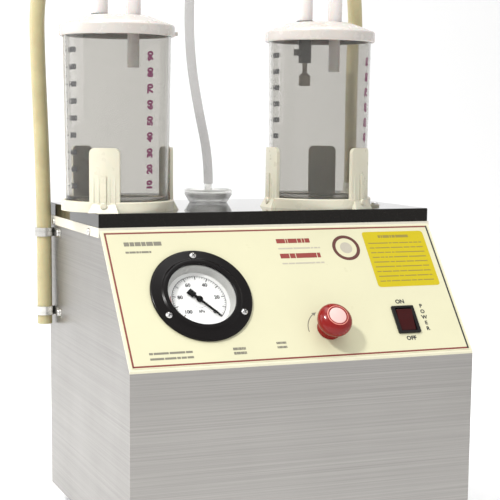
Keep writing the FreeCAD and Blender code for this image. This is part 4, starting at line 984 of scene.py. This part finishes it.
# --- cabinet and what is inside ------------------------------------------------------------------
@dataclass
class Carcass:
    """The pieces that keep their solids and only take a finish."""

    finishes: dict[str, Finish] = field(default_factory=lambda: {
        "base_plate": Finishes.ZINC, "cabinet_shell": Finishes.STEEL, "control_panel": Finishes.PANEL,
        "panel_overlay": Finishes.OVERLAY, "deck_frame": Finishes.FRAME, "deck_board": Finishes.BOARD,
        "rear_cover": Finishes.STEEL, "rubber_feet": Finishes.RUBBER, "machine_screws": Finishes.SCREW,
        "seal_left": Finishes.SEAL, "seal_right": Finishes.SEAL, "float_cage": Finishes.DARK,
        "float_valve": Finishes.FLOAT, "filter_membrane": Finishes.MEMBRANE,
        "filter_socket": Finishes.NYLON, "hose_clips": Finishes.CLIP, "vacuum_tubes": Finishes.TUBE,
        "gauge_case": Finishes.CUP, "gauge_movement": Finishes.BRASS, "bourdon_tube": Finishes.BRASS,
        "gauge_pointer": Finishes.NEEDLE, "regulator_body": Finishes.BRASS,
        "regulator_spindle": Finishes.SHAFT, "regulator_needle": Finishes.BRASS,
        "motor_housing": Finishes.CAST, "motor_stator": Finishes.STATOR, "motor_bearings": Finishes.BEARING,
        "motor_rotor": Finishes.SHAFT, "cooling_fan": Finishes.FAN, "pump_cylinder": Finishes.IRON,
        "pump_rotor": Finishes.IRON, "pump_vanes": Finishes.VANE, "pump_covers": Finishes.IRON,
        "unit_plate": Finishes.PLATE, "unit_mounts": Finishes.RUBBER, "silencer": Finishes.BRONZE,
        "mains_inlet": Finishes.SWITCH, "fuse_drawer": Finishes.DARK, "switch_housing": Finishes.SWITCH,
        "gauge_dial": Finishes.DIAL, "gauge_screws": Finishes.SCREW, "holder_left": Finishes.HOLDER,
        "holder_right": Finishes.HOLDER,
    })

    def build(self) -> None:
        """Give every kept solid its finish."""
        for node, finish in self.finishes.items():
            data = NODES[node].data
            data.materials.clear()
            data.materials.append(finish.material())
            LOG.info("%s is finished in %s", node, finish.name)


# --- control panel -------------------------------------------------------------------------------
@dataclass
class PanelPrint:
    """The printing on the overlay, drawn from the crease up, in the panel's millimetres."""

    width: float = 380.0
    slope: float = 164.9
    inset: float = 3.4
    line: float = 1.9
    lift: float = 0.06

    def place(self) -> Place:
        """Give the point of the crease that is under the panel's middle.

        Returns:
            A place with x to the right, y up the slope and z outward.
        """
        low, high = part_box("control_panel")
        knob = panel_place("knob_turn", KNOB_LIFT)
        return knob.moved((low.x + high.x) / 2 / MM - knob.origin[0] / MM, -KNOB_UP_SLOPE)

    def rectangle(self, x0: float, x1: float, s0: float, s1: float, lift: float = 0.0) -> Array:
        """Give one printed rectangle as a patch."""
        return box_corners(x0, x1, s0, s1, self.lift + lift)[None]

    def rows(self, x0: float, x1: float, s0: float, s1: float, count: int, fill: float, seed: int) -> Array:
        """Give lines of dashes that stand for small print.

        Args:
            x0: left end.
            x1: right end.
            s0: lowest line.
            s1: highest line.
            count: number of lines.
            fill: a stroke's height as a share of the line spacing.
            seed: seed of the dash lengths.

        Returns:
            Patches by 4 by 3: each line is cut at seeded places, and each dash stops short of the next.
        """
        chance = np.random.default_rng(seed)
        patches = []
        pitch = (s1 - s0) / count
        for line in range(count):
            cuts = np.sort(np.concatenate([[0.0, 1.0], chance.uniform(0.08, 0.95, 6)]))
            cuts = cuts[np.concatenate([[True], np.diff(cuts) > 0.06])]
            low = s0 + pitch * (line + 0.5 - fill / 2)
            gap = 0.018
            for start, end in zip(cuts[:-1], cuts[1:]):
                left, right = x0 + (x1 - x0) * start, x0 + (x1 - x0) * (end - gap)
                patches.append(box_corners(left, right, low, low + pitch * fill, self.lift + 0.04))
        return np.array(patches)

    def stamp(self, name: str, patches: list[Array], finish: Finish) -> None:
        """Make one piece of several groups of patches."""
        Shell().flats(np.concatenate(patches), self.place()).piece(name, finish)

    def words(self, name: str, lines: list[tuple], finish: Finish) -> None:
        """Make one piece of several words, each with its size, place and turn.

        Args:
            name: the piece's name.
            lines: for each word, what is written, its size, its place across and up, and its turn.
            finish: the ink.
        """
        shell = Shell()
        for words, size, x, s, degrees in lines:
            points, faces = lettering(words, size, x, s, degrees, self.lift)
            shell.drawn(self.place().carry(points), faces)
        shell.piece(name, finish)

    def border(self) -> None:
        """Print the line that runs round the overlay; its right side is darker."""
        half, top, line, edge = self.width / 2 - self.inset, self.slope - self.inset, self.line, self.inset
        sides = [
            self.rectangle(-half, half, edge, edge + line), self.rectangle(-half, half, top - line, top),
            self.rectangle(-half, line - half, edge, top),
        ]
        self.stamp("panel_border", sides, Finishes.BROWN_INK)
        right = [self.rectangle(half - line, half, edge, top, 0.01)]
        self.stamp("panel_border_right", right, Finishes.BLACK_INK)

    def small_print(self) -> None:
        """Print the rows that stand for small print in the corners and beside the title."""
        self.stamp("maker_mark", [
            self.rows(-168, -127, 143, 151, 1, 0.62, 3), self.rows(-168, -140, 134, 140, 1, 0.4, 4),
        ], Finishes.GREY_INK)
        self.stamp("title_block", [
            self.rows(0.5, 40, 141, 151, 1, 0.55, 7), self.rows(0.5, 48, 122, 132, 1, 0.6, 12),
        ], Finishes.TITLE_INK)
        self.stamp("title_small_print", [
            self.rows(0.5, 50, 134, 139, 1, 0.35, 8), self.rows(0.5, 50, 115, 120, 1, 0.35, 13),
        ], Finishes.PALE_INK)
        self.stamp("foot_print", [
            self.rows(-167, -121, 9, 21, 2, 0.4, 9), self.rows(-79, -65, 11, 21, 2, 0.6, 10),
            self.rows(-31, -20, 15, 25, 2, 0.5, 11),
        ], Finishes.GREY_INK)

    def seal(self) -> None:
        """Print a plain thick ring with a plain grey middle."""
        place = self.place().moved(79.9, 135.2)
        ring = Shell().flats(arc_band(14.2, 3.8, 0, 360, self.lift), place)
        ring.piece("round_mark", Finishes.SEAL_INK)
        middle = Shell().flats(arc_band(3.6, 7.0, 0, 360, self.lift), place)
        middle.piece("round_mark_middle", Finishes.PALE_INK)

    def label(self) -> None:
        """Print the yellow label with plain rows on it."""
        outline = soften([(103.7, 83.6), (178.7, 83.6), (178.7, 155.0), (103.7, 155.0)], 4.0, Edge.CLOSED)
        points = np.hstack([outline, np.full((len(outline), 1), self.lift)])
        face = Shell().add(self.place().carry(points), [list(range(len(points)))], outline / self.width)
        face.piece("yellow_label", Finishes.LABEL)
        self.stamp("label_lines", [self.rows(108, 174.5, 88, 143, 9, 0.22, 15)], Finishes.LABEL_INK)
        self.stamp("label_heading", [self.rows(122, 160, 145, 152, 1, 0.5, 16)], Finishes.LABEL_INK)

    def signs(self) -> None:
        """Print the words beside the switch and the turning arrow beside the knob."""
        power = [(letter, 6.2, 146.0, 58.0 - 7.0 * step, 0.0) for step, letter in enumerate("POWER")]
        self.words("switch_words", [
            ("ON", 6.6, 122.8, 64.5, 0.0), ("OFF", 6.6, 122.8, 19.5, 0.0), *power,
        ], Finishes.BLACK_INK)
        knob = panel_place("knob_turn", KNOB_LIFT)
        arrow = Shell().flats(arc_band(22.5, 1.0, 125, 185, self.lift, 32), knob)
        turn = math.radians(122)
        tip = np.array([
            [22.5 * math.cos(turn - 0.16), 22.5 * math.sin(turn - 0.16), self.lift],
            [24.8 * math.cos(turn + 0.06), 24.8 * math.sin(turn + 0.06), self.lift],
            [22.5 * math.cos(turn + 0.05), 22.5 * math.sin(turn + 0.05), self.lift],
            [20.2 * math.cos(turn + 0.06), 20.2 * math.sin(turn + 0.06), self.lift],
        ])
        arrow.flats(tip[None], knob)
        arrow.piece("turning_arrow", Finishes.GREY_INK)

    def build(self) -> None:
        """Print everything."""
        self.border()
        self.small_print()
        self.seal()
        self.label()
        self.signs()


@dataclass
class VacuumGauge:
    """Black flange, pale sloping ring, dial with its scale, and glass."""

    radius: float = 54.0
    sight: float = 36.0
    dial_drop: float = 8.0
    zero: float = -47.0
    sweep: float = 270.0
    bolt_ring: float = 46.5
    number_ring: float = 20.0

    def place(self) -> Place:
        """Give the gauge's middle on the overlay's face."""
        return panel_place("pointer_turn", -5.0)

    def flange(self) -> None:
        """Turn the flange from a rounded outline, with its raised lip round the sight."""
        corners = [
            (37.4, 0.05), (self.radius, 0.05), (self.radius, 2.4), (self.radius - 1.6, 3.3), (43.0, 3.7),
            (40.6, 5.4), (self.sight + 0.6, 5.4), (self.sight, 4.4), (self.sight, 3.2), (37.4, 3.2),
        ]
        shell = Shell().turned(soften(corners, 0.8, Edge.CLOSED), self.place(), True, 128)
        shell.piece("gauge_flange_cover", Finishes.FLANGE, node="gauge_flange")

    def ring(self) -> None:
        """Turn the sloping ring between glass and dial."""
        corners = [(33.0, -8.0), (37.2, -8.0), (37.2, 0.9), (36.2, 0.9)]
        Shell().turned(soften(corners, 0.2, Edge.CLOSED), self.place(), True, 128).piece(
            "gauge_inner_ring", Finishes.RING, node="gauge_ring")

    def glass(self) -> None:
        """Turn the flat glass with its ground edge."""
        corners = [(0.0, 0.95), (36.9, 0.95), (37.1, 1.2), (37.1, 2.9), (36.9, 3.1), (0.0, 3.1)]
        Shell().turned(np.array(corners), self.place(), False).piece(
            "gauge_window", Finishes.GLASS, node="gauge_glass")

    def scale(self) -> None:
        """Print the two arcs, the strokes and the numbers; angles run anticlockwise from zero."""
        z = 0.08 - self.dial_drop
        place = self.place()
        major = self.zero + np.linspace(0, self.sweep, 11)
        minor = self.zero + np.linspace(0, self.sweep, 51)
        black = Shell().flats(arc_band(28.6, 0.6, self.zero, self.zero + self.sweep, z, 90), place)
        black.flats(ticks(24.6, 28.6, 1.0, major, z), place)
        black.flats(ticks(26.6, 28.6, 0.45, minor, z), place)
        for number in range(0, 11, 2):
            turn = math.radians(major[number])
            x, y = self.number_ring * math.cos(turn), self.number_ring * math.sin(turn)
            points, faces = lettering(str(number * 10), 5.8, x, y, 0.0, z)
            black.drawn(place.carry(points), faces)
        black.flats(arc_band(9.0, 0.3, 200, 340, z, 24), place)
        black.piece("dial_scale", Finishes.BLACK_INK)
        red = Shell().flats(arc_band(30.4, 0.8, self.zero + 216, self.zero + self.sweep, z, 32), place)
        red.piece("dial_limit", Finishes.RED_INK)
        points, faces = lettering("kPa", 4.4, 0.0, -13.5, 0.0, z)
        Shell().drawn(place.carry(points), faces).piece("dial_unit", Finishes.BLACK_INK)

    def screws(self) -> None:
        """Turn the three domed screw heads, with a flat dark cross on each: painted shade for the shaded
        recess of the slot.
        """
        heads, slot_shades = Shell(), Shell()
        for number, angle in enumerate((90.0, 210.0, 330.0)):
            turn = math.radians(angle)
            place = self.place().moved(self.bolt_ring * math.cos(turn), self.bolt_ring * math.sin(turn))
            place = place.turned(25.0 + 40.0 * number)
            outline = soften([(0.0, 3.4), (3.7, 3.4), (3.6, 4.7), (2.0, 5.9), (0.0, 6.1)], 0.7)
            heads.turned(outline, place, False, 40)
            # painted shade: a flat dark cross stands for the shaded recess of each slot
            cross = [box_corners(-2.9, 2.9, -0.35, 0.35, 6.15), box_corners(-0.35, 0.35, -2.9, 2.9, 6.14)]
            slot_shades.flats(np.stack(cross), place)
        heads.piece("gauge_screw_heads", Finishes.SCREW, node="gauge_screws")
        slot_shades.piece("gauge_screw_slot_shade", Finishes.NEEDLE)

    def build(self) -> None:
        """Make the gauge's visible pieces."""
        self.flange()
        self.ring()
        self.glass()
        self.scale()
        self.screws()


@dataclass
class RegulatorKnob:
    """A red mushroom knob: a low dome over a deeper bowl, a pale band of painted highlight on its shoulder,
    and a printed top.
    """

    radius: float = 18.5
    height: float = 28.0
    waist: float = 18.5
    neck: float = 12.0
    flat: float = 10.6
    disc: float = 9.2

    def place(self) -> Place:
        """Give the knob's middle on the overlay's face."""
        return panel_place("knob_turn", KNOB_LIFT)

    def dome(self) -> tuple[float, float]:
        """Give the angle in radians at which the dome meets the flat top, and its ellipse's height."""
        lean = math.sqrt(1.0 - (self.flat / self.radius) ** 2)
        return math.acos(self.flat / self.radius), (self.height - self.waist) / lean

    def arc(self, start: float, end: float, depth: float, steps: int = 22) -> Array:
        """Give an elliptic stretch of the outline: R cos a across, waist + depth sin a up.

        Args:
            start: first angle in radians.
            end: last angle.
            depth: the ellipse's height.
            steps: number of points.

        Returns:
            Rows of radius and height.
        """
        angle = np.linspace(start, end, steps)
        return np.stack([self.radius * np.cos(angle), self.waist + depth * np.sin(angle)], -1)

    def head(self) -> None:
        """Turn the head: foot, neck, bowl, dome and a shallow recess in the flat top."""
        bowl = self.arc(-math.acos(self.neck / self.radius), 0.0, self.waist - 4.5)
        dome = self.arc(0.0, *self.dome())[1:]
        foot = np.array([(0.0, 0.6), (self.neck + 0.9, 0.6), (self.neck + 0.9, 1.4), (self.neck, 3.0)])
        rim = np.array([
            (self.flat - 0.6, self.height), (self.disc + 0.3, self.height - 0.2),
            (self.disc + 0.2, self.height - 1.0), (0.0, self.height - 1.0),
        ])
        outline = np.vstack([foot, bowl, dome, rim])
        Shell().turned(outline, self.place(), False).piece(
            "regulator_head", Finishes.RED, Body.KNOB, 50.0, "regulator_knob")

    def rim(self) -> None:
        """Turn the pale pink band on the dome's shoulder, a hair outside it: a painted highlight."""
        skin = self.arc(math.radians(52.0), *self.dome(), 8)
        over = skin + np.array([0.05, 0.05])
        outline = np.vstack([over, skin[::-1]])
        Shell().turned(outline, self.place(), True, 96).piece("regulator_rim_highlight", Finishes.RIM_HIGHLIGHT, Body.KNOB, 60.0)

    def cap(self) -> None:
        """Turn the printed disc in the top."""
        top = self.height
        outline = np.array([
            (0.0, top - 1.05), (self.disc, top - 1.05), (self.disc, top - 0.25),
            (self.disc - 0.4, top - 0.05), (0.0, top),
        ])
        Shell().turned(outline, self.place(), False, 64).piece(
            "regulator_top_disc", Finishes.CAP, Body.KNOB, 50.0, "knob_cap")

    def build(self) -> None:
        """Make the knob."""
        self.head()
        self.rim()
        self.cap()


@dataclass
class RockerSwitch:
    """The recessed dark-red rocker; the black bezel round it keeps its solid."""

    width: float = 18.0
    length: float = 26.0
    travel: float = 16.0
    pivot: float = -3.0

    def place(self) -> Place:
        """Give the switch's middle on the overlay's face."""
        return panel_place("rocker_tilt", self.pivot)

    def rocker(self) -> None:
        """Sweep the rocker's side outline across its width, with soft ends.

        The outline's ends lie on a circle about the pivot and its top is a shallow vee. Across the
        width it is drawn in towards its middle near both sides: 1 - 0.035 w to the 10th power.
        """
        reach = self.length / 2 + 0.1
        right = np.radians(np.linspace(-18.0, 22.0 + self.travel / 2, 12))
        left = np.radians(np.linspace(180.0 - 22.0 + self.travel / 2, 198.0, 12))
        rim = np.vstack([
            np.stack([reach * np.cos(right), self.pivot + reach * np.sin(right)], -1),
            [[0.0, 1.35]],
            np.stack([reach * np.cos(left), self.pivot + reach * np.sin(left)], -1),
        ])
        loop = soften([tuple(point) for point in rim], 1.0, Edge.CLOSED, 3)
        across = np.concatenate([[-1.0], np.linspace(-1.0, 1.0, 25), [1.0]])[:, None]
        shrink = 1.0 - 0.035 * np.abs(across) ** 10
        shrink[[0, -1]] = 0.0
        centre = np.array([0.0, -2.0])
        outline = centre + (loop[None] - centre) * shrink[:, :, None]
        x = np.broadcast_to(across * self.width / 2, outline.shape[:2])
        local = np.stack([x, outline[..., 0], outline[..., 1]], -1)
        Shell().grid(self.place().carry(local), wrap_columns=True).piece(
            "rocker_lens", Finishes.LENS, Body.ROCKER, 40.0, "switch_rocker")

    def build(self) -> None:
        """Make the rocker."""
        self.rocker()


# --- jars ----------------------------------------------------------------------------------------
@dataclass
class CollectingJar:
    """One clear jar with its scale, its lid and the two hose connectors."""

    side: str
    jar_body: Body
    lid_body: Body
    black_scale: float
    red_scale: float
    outlet_foot: float
    foot_radius: float = 54.5
    top_radius: float = 57.0
    wall: float = 2.5

    def __post_init__(self) -> None:
        """Take the jar's place and the heights of its rim and stems from their own boxes."""
        low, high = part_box(f"jar_{self.side}")
        self.place = node_place(f"jar_{self.side}")
        self.height = (high.z - low.z) / MM
        stem_low, stem_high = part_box(f"connectors_{self.side}")
        self.nozzle = (stem_high.z - high.z) / MM
        self.stub = (stem_low.z - high.z) / MM

    def radius(self, height: Array) -> Array:
        """Give the outside radius at a height: it grows evenly from foot to rim."""
        return self.foot_radius + (self.top_radius - self.foot_radius) * height / self.height

    def jar(self) -> None:
        """Turn the jar: outside, rim, inside and floor as one closed outline."""
        corners = [
            (0.0, 1.6), (30.0, 1.2), (46.0, 0.0), (self.foot_radius - 0.6, 0.0),
            (float(self.radius(4.0)), 6.0), (self.top_radius, self.height),
            (self.top_radius - self.wall, self.height),
            (float(self.radius(8.0)) - self.wall, 9.0), (46.0, 4.0), (0.0, 4.6),
        ]
        Shell().turned(soften(corners, 4.0, Edge.OPEN, 8), self.place, False, 128).piece(
            f"clear_jar_{self.side}", Finishes.JAR, self.jar_body, 50.0, f"jar_{self.side}")

    def wrapped(self, points: Array, azimuth: float) -> Array:
        """Roll flat print round the jar: x becomes an angle and y a height.

        Args:
            points: local points in millimetres, x across and y up from the jar's foot.
            azimuth: where x is 0, in degrees from the frame's x axis.

        Returns:
            Local points of the jar in millimetres.
        """
        radius = self.radius(points[..., 1]) + 0.08
        angle = math.radians(azimuth) + points[..., 0] / radius
        return np.stack([radius * np.cos(angle), radius * np.sin(angle), points[..., 1]], -1)

    def number_scale(self) -> None:
        """Print bold numbers 17.5 mm apart, each with a long stroke, and short strokes between."""
        heights = np.arange(22.0, 172.0, 17.5)
        shell = Shell()
        for step in (0.0, 8.75):
            y = (heights + step)[:, None] + np.array([[-0.55, -0.55, 0.55, 0.55]])
            reach = 5.0 if step == 0.0 else 2.6
            x = np.broadcast_to(np.array([[-10.0, reach - 10.0, reach - 10.0, -10.0]]), y.shape)
            shell.flats(self.wrapped(np.stack([x, y, 0 * y], -1), self.black_scale), self.place)
        for step, height in enumerate(heights):
            self.write(shell, str(200 + 200 * step), 7.2, (4.0, height, 0.0), self.black_scale)
        shell.piece(f"black_scale_{self.side}", Finishes.BLACK_INK, self.jar_body)

    def column(self) -> None:
        """Print a bold column of plain numbers that reads up the jar."""
        shell = Shell()
        for step in range(9):
            self.write(shell, f"{step + 1}0", 9.5, (0.0, 24.0 + 16.5 * step, 90.0), self.red_scale)
        shell.piece(f"violet_scale_{self.side}", Finishes.VIOLET_INK, self.jar_body)

    def write(self, shell: Shell, words: str, size: float, spot: tuple, azimuth: float) -> None:
        """Add words, made bold by three copies set a little apart, to a shell.

        Args:
            shell: where the words go.
            words: what is written.
            size: the letters' size in millimetres.
            spot: place across, height and turn in degrees.
            azimuth: where on the jar the place across is 0.
        """
        x, y, degrees = spot
        for aside, lift in ((-0.2, 0.0), (0.2, 0.004), (0.0, 0.008)):
            points, faces = lettering(words, size, x + aside, y + aside, degrees)
            flat = self.wrapped(points, azimuth)
            spoke = flat[:, :2] / np.linalg.norm(flat[:, :2], axis=1, keepdims=True)
            flat[:, :2] += spoke * lift
            shell.drawn(self.place.carry(flat), faces)

    def lid(self) -> None:
        """Turn the lid: a soft-edged skirt, a shallow cone and a flat middle, all one wall."""
        top = self.place.moved(0.0, 0.0, self.height)
        corners = [
            (0.0, 2.0), (57.6, 2.0), (57.6, -6.5), (60.4, -6.5), (61.0, -5.0), (61.0, 4.0), (59.6, 5.6),
            (55.5, 6.2), (54.5, 7.2), (38.0, 13.6), (34.0, 14.8), (31.5, 15.0), (0.0, 15.0),
        ]
        Shell().turned(soften(corners, 0.9), top, False, 128).piece(
            f"jar_lid_{self.side}", Finishes.LID, self.lid_body, 40.0, f"lid_{self.side}")

    def tab(self) -> None:
        """Sweep the small lifting tab at the lid's right: a rounded tongue on the skirt."""
        top = self.place.moved(59.0, 0.0, self.height - 4.0)
        angle = np.linspace(0, 2 * math.pi, 40, endpoint=False)
        cosine, sine = np.cos(angle), np.sin(angle)
        across = 3.8 + 3.9 * np.sign(cosine) * np.abs(cosine) ** 0.5
        shape = np.stack([across, 6.0 * np.sign(sine) * np.abs(sine) ** 0.6], -1)
        rows = np.array([(0.0, 0.0), (0.9, 0.0), (1.0, 0.6), (1.0, 3.4), (0.9, 4.0), (0.0, 4.0)])
        xy = np.array([3.0, 0.0]) + (shape[None] - np.array([3.0, 0.0])) * rows[:, :1, None]
        local = np.concatenate([xy, np.broadcast_to(rows[:, 1][:, None, None], xy.shape[:2] + (1,))], -1)
        Shell().grid(top.carry(local), wrap_columns=True).piece(
            f"lid_tab_{self.side}", Finishes.LID, self.lid_body, 40.0)

    def connectors(self) -> None:
        """Turn both connectors: a thin dark ring at the foot, stem, neck and nozzle above, a stub below."""
        lid_top, top = 15.0, self.nozzle
        shell, dark_rings = Shell(), Shell()
        for offset, foot in ((-18.0, self.outlet_foot), (18.0, self.stub)):
            place = self.place.moved(offset, 0.0, self.height)
            corners = [
                (3.0, foot), (6.3, foot), (6.3, lid_top + 1.0), (7.9, lid_top + 1.4), (8.0, top - 18.5),
                (7.2, top - 16.5), (5.2, top - 15.0), (4.5, top - 14.6), (4.5, top - 9.0),
                (4.9, top - 8.0), (4.5, top - 5.5), (4.9, top - 4.4), (4.0, top), (3.0, top),
            ]
            shell.turned(soften(corners, 0.6, Edge.CLOSED, 4), place, True, 64)
            # a thin dark ring round each stem's foot, lying on the lid
            square = [(7.2, lid_top), (9.8, lid_top), (9.8, lid_top + 1.7), (7.2, lid_top + 1.7)]
            ring = soften(square, 0.5, Edge.CLOSED, 4)
            dark_rings.turned(ring, place, True, 48)
        stems = f"connectors_{self.side}"
        shell.piece(f"hose_{stems}", Finishes.PORT, self.lid_body, 40.0, stems)
        dark_rings.piece(f"connector_dark_rings_{self.side}", Finishes.DARK, self.lid_body, 40.0)

    def build(self) -> None:
        """Make the whole jar."""
        self.jar()
        self.number_scale()
        self.column()
        self.lid()
        self.tab()
        self.connectors()


@dataclass
class DiscFilter:
    """The disc filter on the deck: dish, dished cover and nozzle."""

    def build(self) -> None:
        """Turn the two shells from rounded outlines."""
        place = node_place("filter_body").moved(0.0, 0.0, 12.0)
        low = [
            (2.6, 0.0), (22.0, 0.0), (23.2, 2.0), (28.0, 9.6), (28.0, 11.4), (23.8, 11.4), (17.8, 3.2),
            (2.6, 3.2),
        ]
        dish = Shell().turned(soften(low, 0.9, Edge.CLOSED), place, True, 96)
        spigot = [(2.5, -12.0), (6.0, -12.0), (6.0, 0.4), (2.5, 0.4)]
        dish.turned(soften(spigot, 0.3, Edge.CLOSED), place, True, 48)
        dish.piece("filter_dish", Finishes.FILTER, Body.CABINET, 40.0, "filter_body")
        top = (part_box("filter_cover")[1].z - place.origin[2]) / MM
        high = [
            (2.7, 11.9), (23.0, 11.9), (23.0, 11.6), (28.0, 11.6), (28.0, 14.8), (27.2, 15.5), (25.6, 15.5),
            (23.4, 13.4), (9.0, 13.4), (5.6, 14.6), (4.5, 16.0), (4.5, top), (2.7, top),
        ]
        Shell().turned(soften(high, 0.6, Edge.CLOSED), place).piece(
            "filter_top", Finishes.FILTER, Body.CABINET, 40.0, "filter_cover")


@dataclass
class HolderRibs:
    """The upright ribs that stand on the lower half of each holder finger."""

    side: str
    fingers: tuple[float, ...]
    radius: float = 59.3
    proud: float = 0.9
    half_turn: float = 11.0
    count: int = 5
    low: float = 10.0
    high: float = 38.0

    def build(self) -> None:
        """Carry a half-round rib up the finger, thinning to nothing at its top.

        A point is (R + p sin t) outward at azimuth a + w cos t, with t from 0 to a half turn, and p
        shrinks with height as the square root of what is left of the rib.
        """
        place = node_place(f"holder_{self.side}")
        jar = node_place(f"jar_{self.side}")
        place = Place((jar.origin[0], jar.origin[1], place.origin[2]))
        t = np.linspace(0.0, math.pi, 9)[None, :]
        share = np.linspace(0.0, 1.0, 14)[:, None]
        proud = self.proud * np.sqrt(1.0 - share)
        shell = Shell()
        for finger in self.fingers:
            for step in np.linspace(-self.half_turn, self.half_turn, self.count):
                turn = np.radians(finger + step) + 0.017 * np.cos(t) + 0 * share
                radius = self.radius + proud * np.sin(t) - 0.2 * (np.sin(t) < 1e-6)
                height = self.low + (self.high - self.low) * share + 0 * t
                local = np.stack([radius * np.cos(turn), radius * np.sin(turn), height], -1)
                shell.grid(place.carry(local), wrap_columns=True)
        shell.piece(f"holder_ribs_{self.side}", Finishes.HOLDER, Body.CABINET, 50.0)


@dataclass
class HoseMouth:
    """The suction hose's open cut end: a turned lip round a dark disc of painted shade for the bore."""

    outer: float = 8.5
    bore: float = 5.6

    def build(self) -> None:
        """Turn a rounded lip just below the hose's last point, and lay a dark disc inside it: painted shade
        for the hose's shaded bore.
        """
        place = Place(SUCTION_ROUTE[-1])
        lip = [(self.bore, -0.5), (self.outer - 0.1, -0.5), (self.outer - 0.1, 0.6), (self.bore, 0.6)]
        Shell().turned(soften(lip, 0.35, Edge.CLOSED), place, True, 64).piece(
            "hose_end_lip", Finishes.LATEX, Body.CABINET, 40.0)
        # painted shade: a dark disc stands for the shaded inside of the hose's bore
        disc = np.array([(0.0, -0.12), (self.bore + 0.1, -0.12), (self.bore + 0.1, 0.1), (0.0, 0.1)])
        Shell().turned(disc, place, False, 48).piece("hose_end_bore_shade", Finishes.DARK)


@dataclass
class DeckNozzle:
    """The deck nozzle that the suction hose is parked on."""

    def build(self) -> None:
        """Turn flange, cone and barrel from one rounded outline."""
        place = node_place("hose_nozzle", True)
        corners = [
            (3.5, -54.0), (6.0, -54.0), (6.0, -21.0), (14.0, -21.0), (14.0, -18.4), (10.8, -16.6),
            (9.4, -5.0), (9.4, 0.0), (3.5, 0.0),
        ]
        Shell().turned(soften(corners, 0.8, Edge.CLOSED), place, True, 64).piece(
            "deck_nozzle", Finishes.NYLON, Body.CABINET, 40.0, "hose_nozzle")


def main() -> None:
    """Build the sub-assemblies in order."""
    logging.basicConfig(level=logging.INFO, format="%(name)s: %(message)s")
    studio = Studio()
    studio.camera()
    Hose("yellow_suction_hose", "suction_hose", SUCTION_ROUTE, 0.017, 1.12, "bare", Finishes.LATEX).build()
    Hose("clear_filter_tube", "clear_tube", CLEAR_ROUTE, 0.011, 0.49, "object", Finishes.TUBE).build()
    studio.floor()
    studio.lights()
    Carcass().build()
    PanelPrint().build()
    VacuumGauge().build()
    RegulatorKnob().build()
    RockerSwitch().build()
    CollectingJar("left", Body.LEFT_JAR, Body.LEFT_LID, -166.0, -69.0, -4.0).build()
    CollectingJar("right", Body.CABINET, Body.CABINET, -177.0, -48.0, -2.0).build()
    HolderRibs("left", (0.0, 120.0, 240.0)).build()
    HolderRibs("right", (60.0, 180.0, 300.0)).build()
    HoseMouth().build()
    DiscFilter().build()
    DeckNozzle().build()


if __name__ == "__main__":
    main()
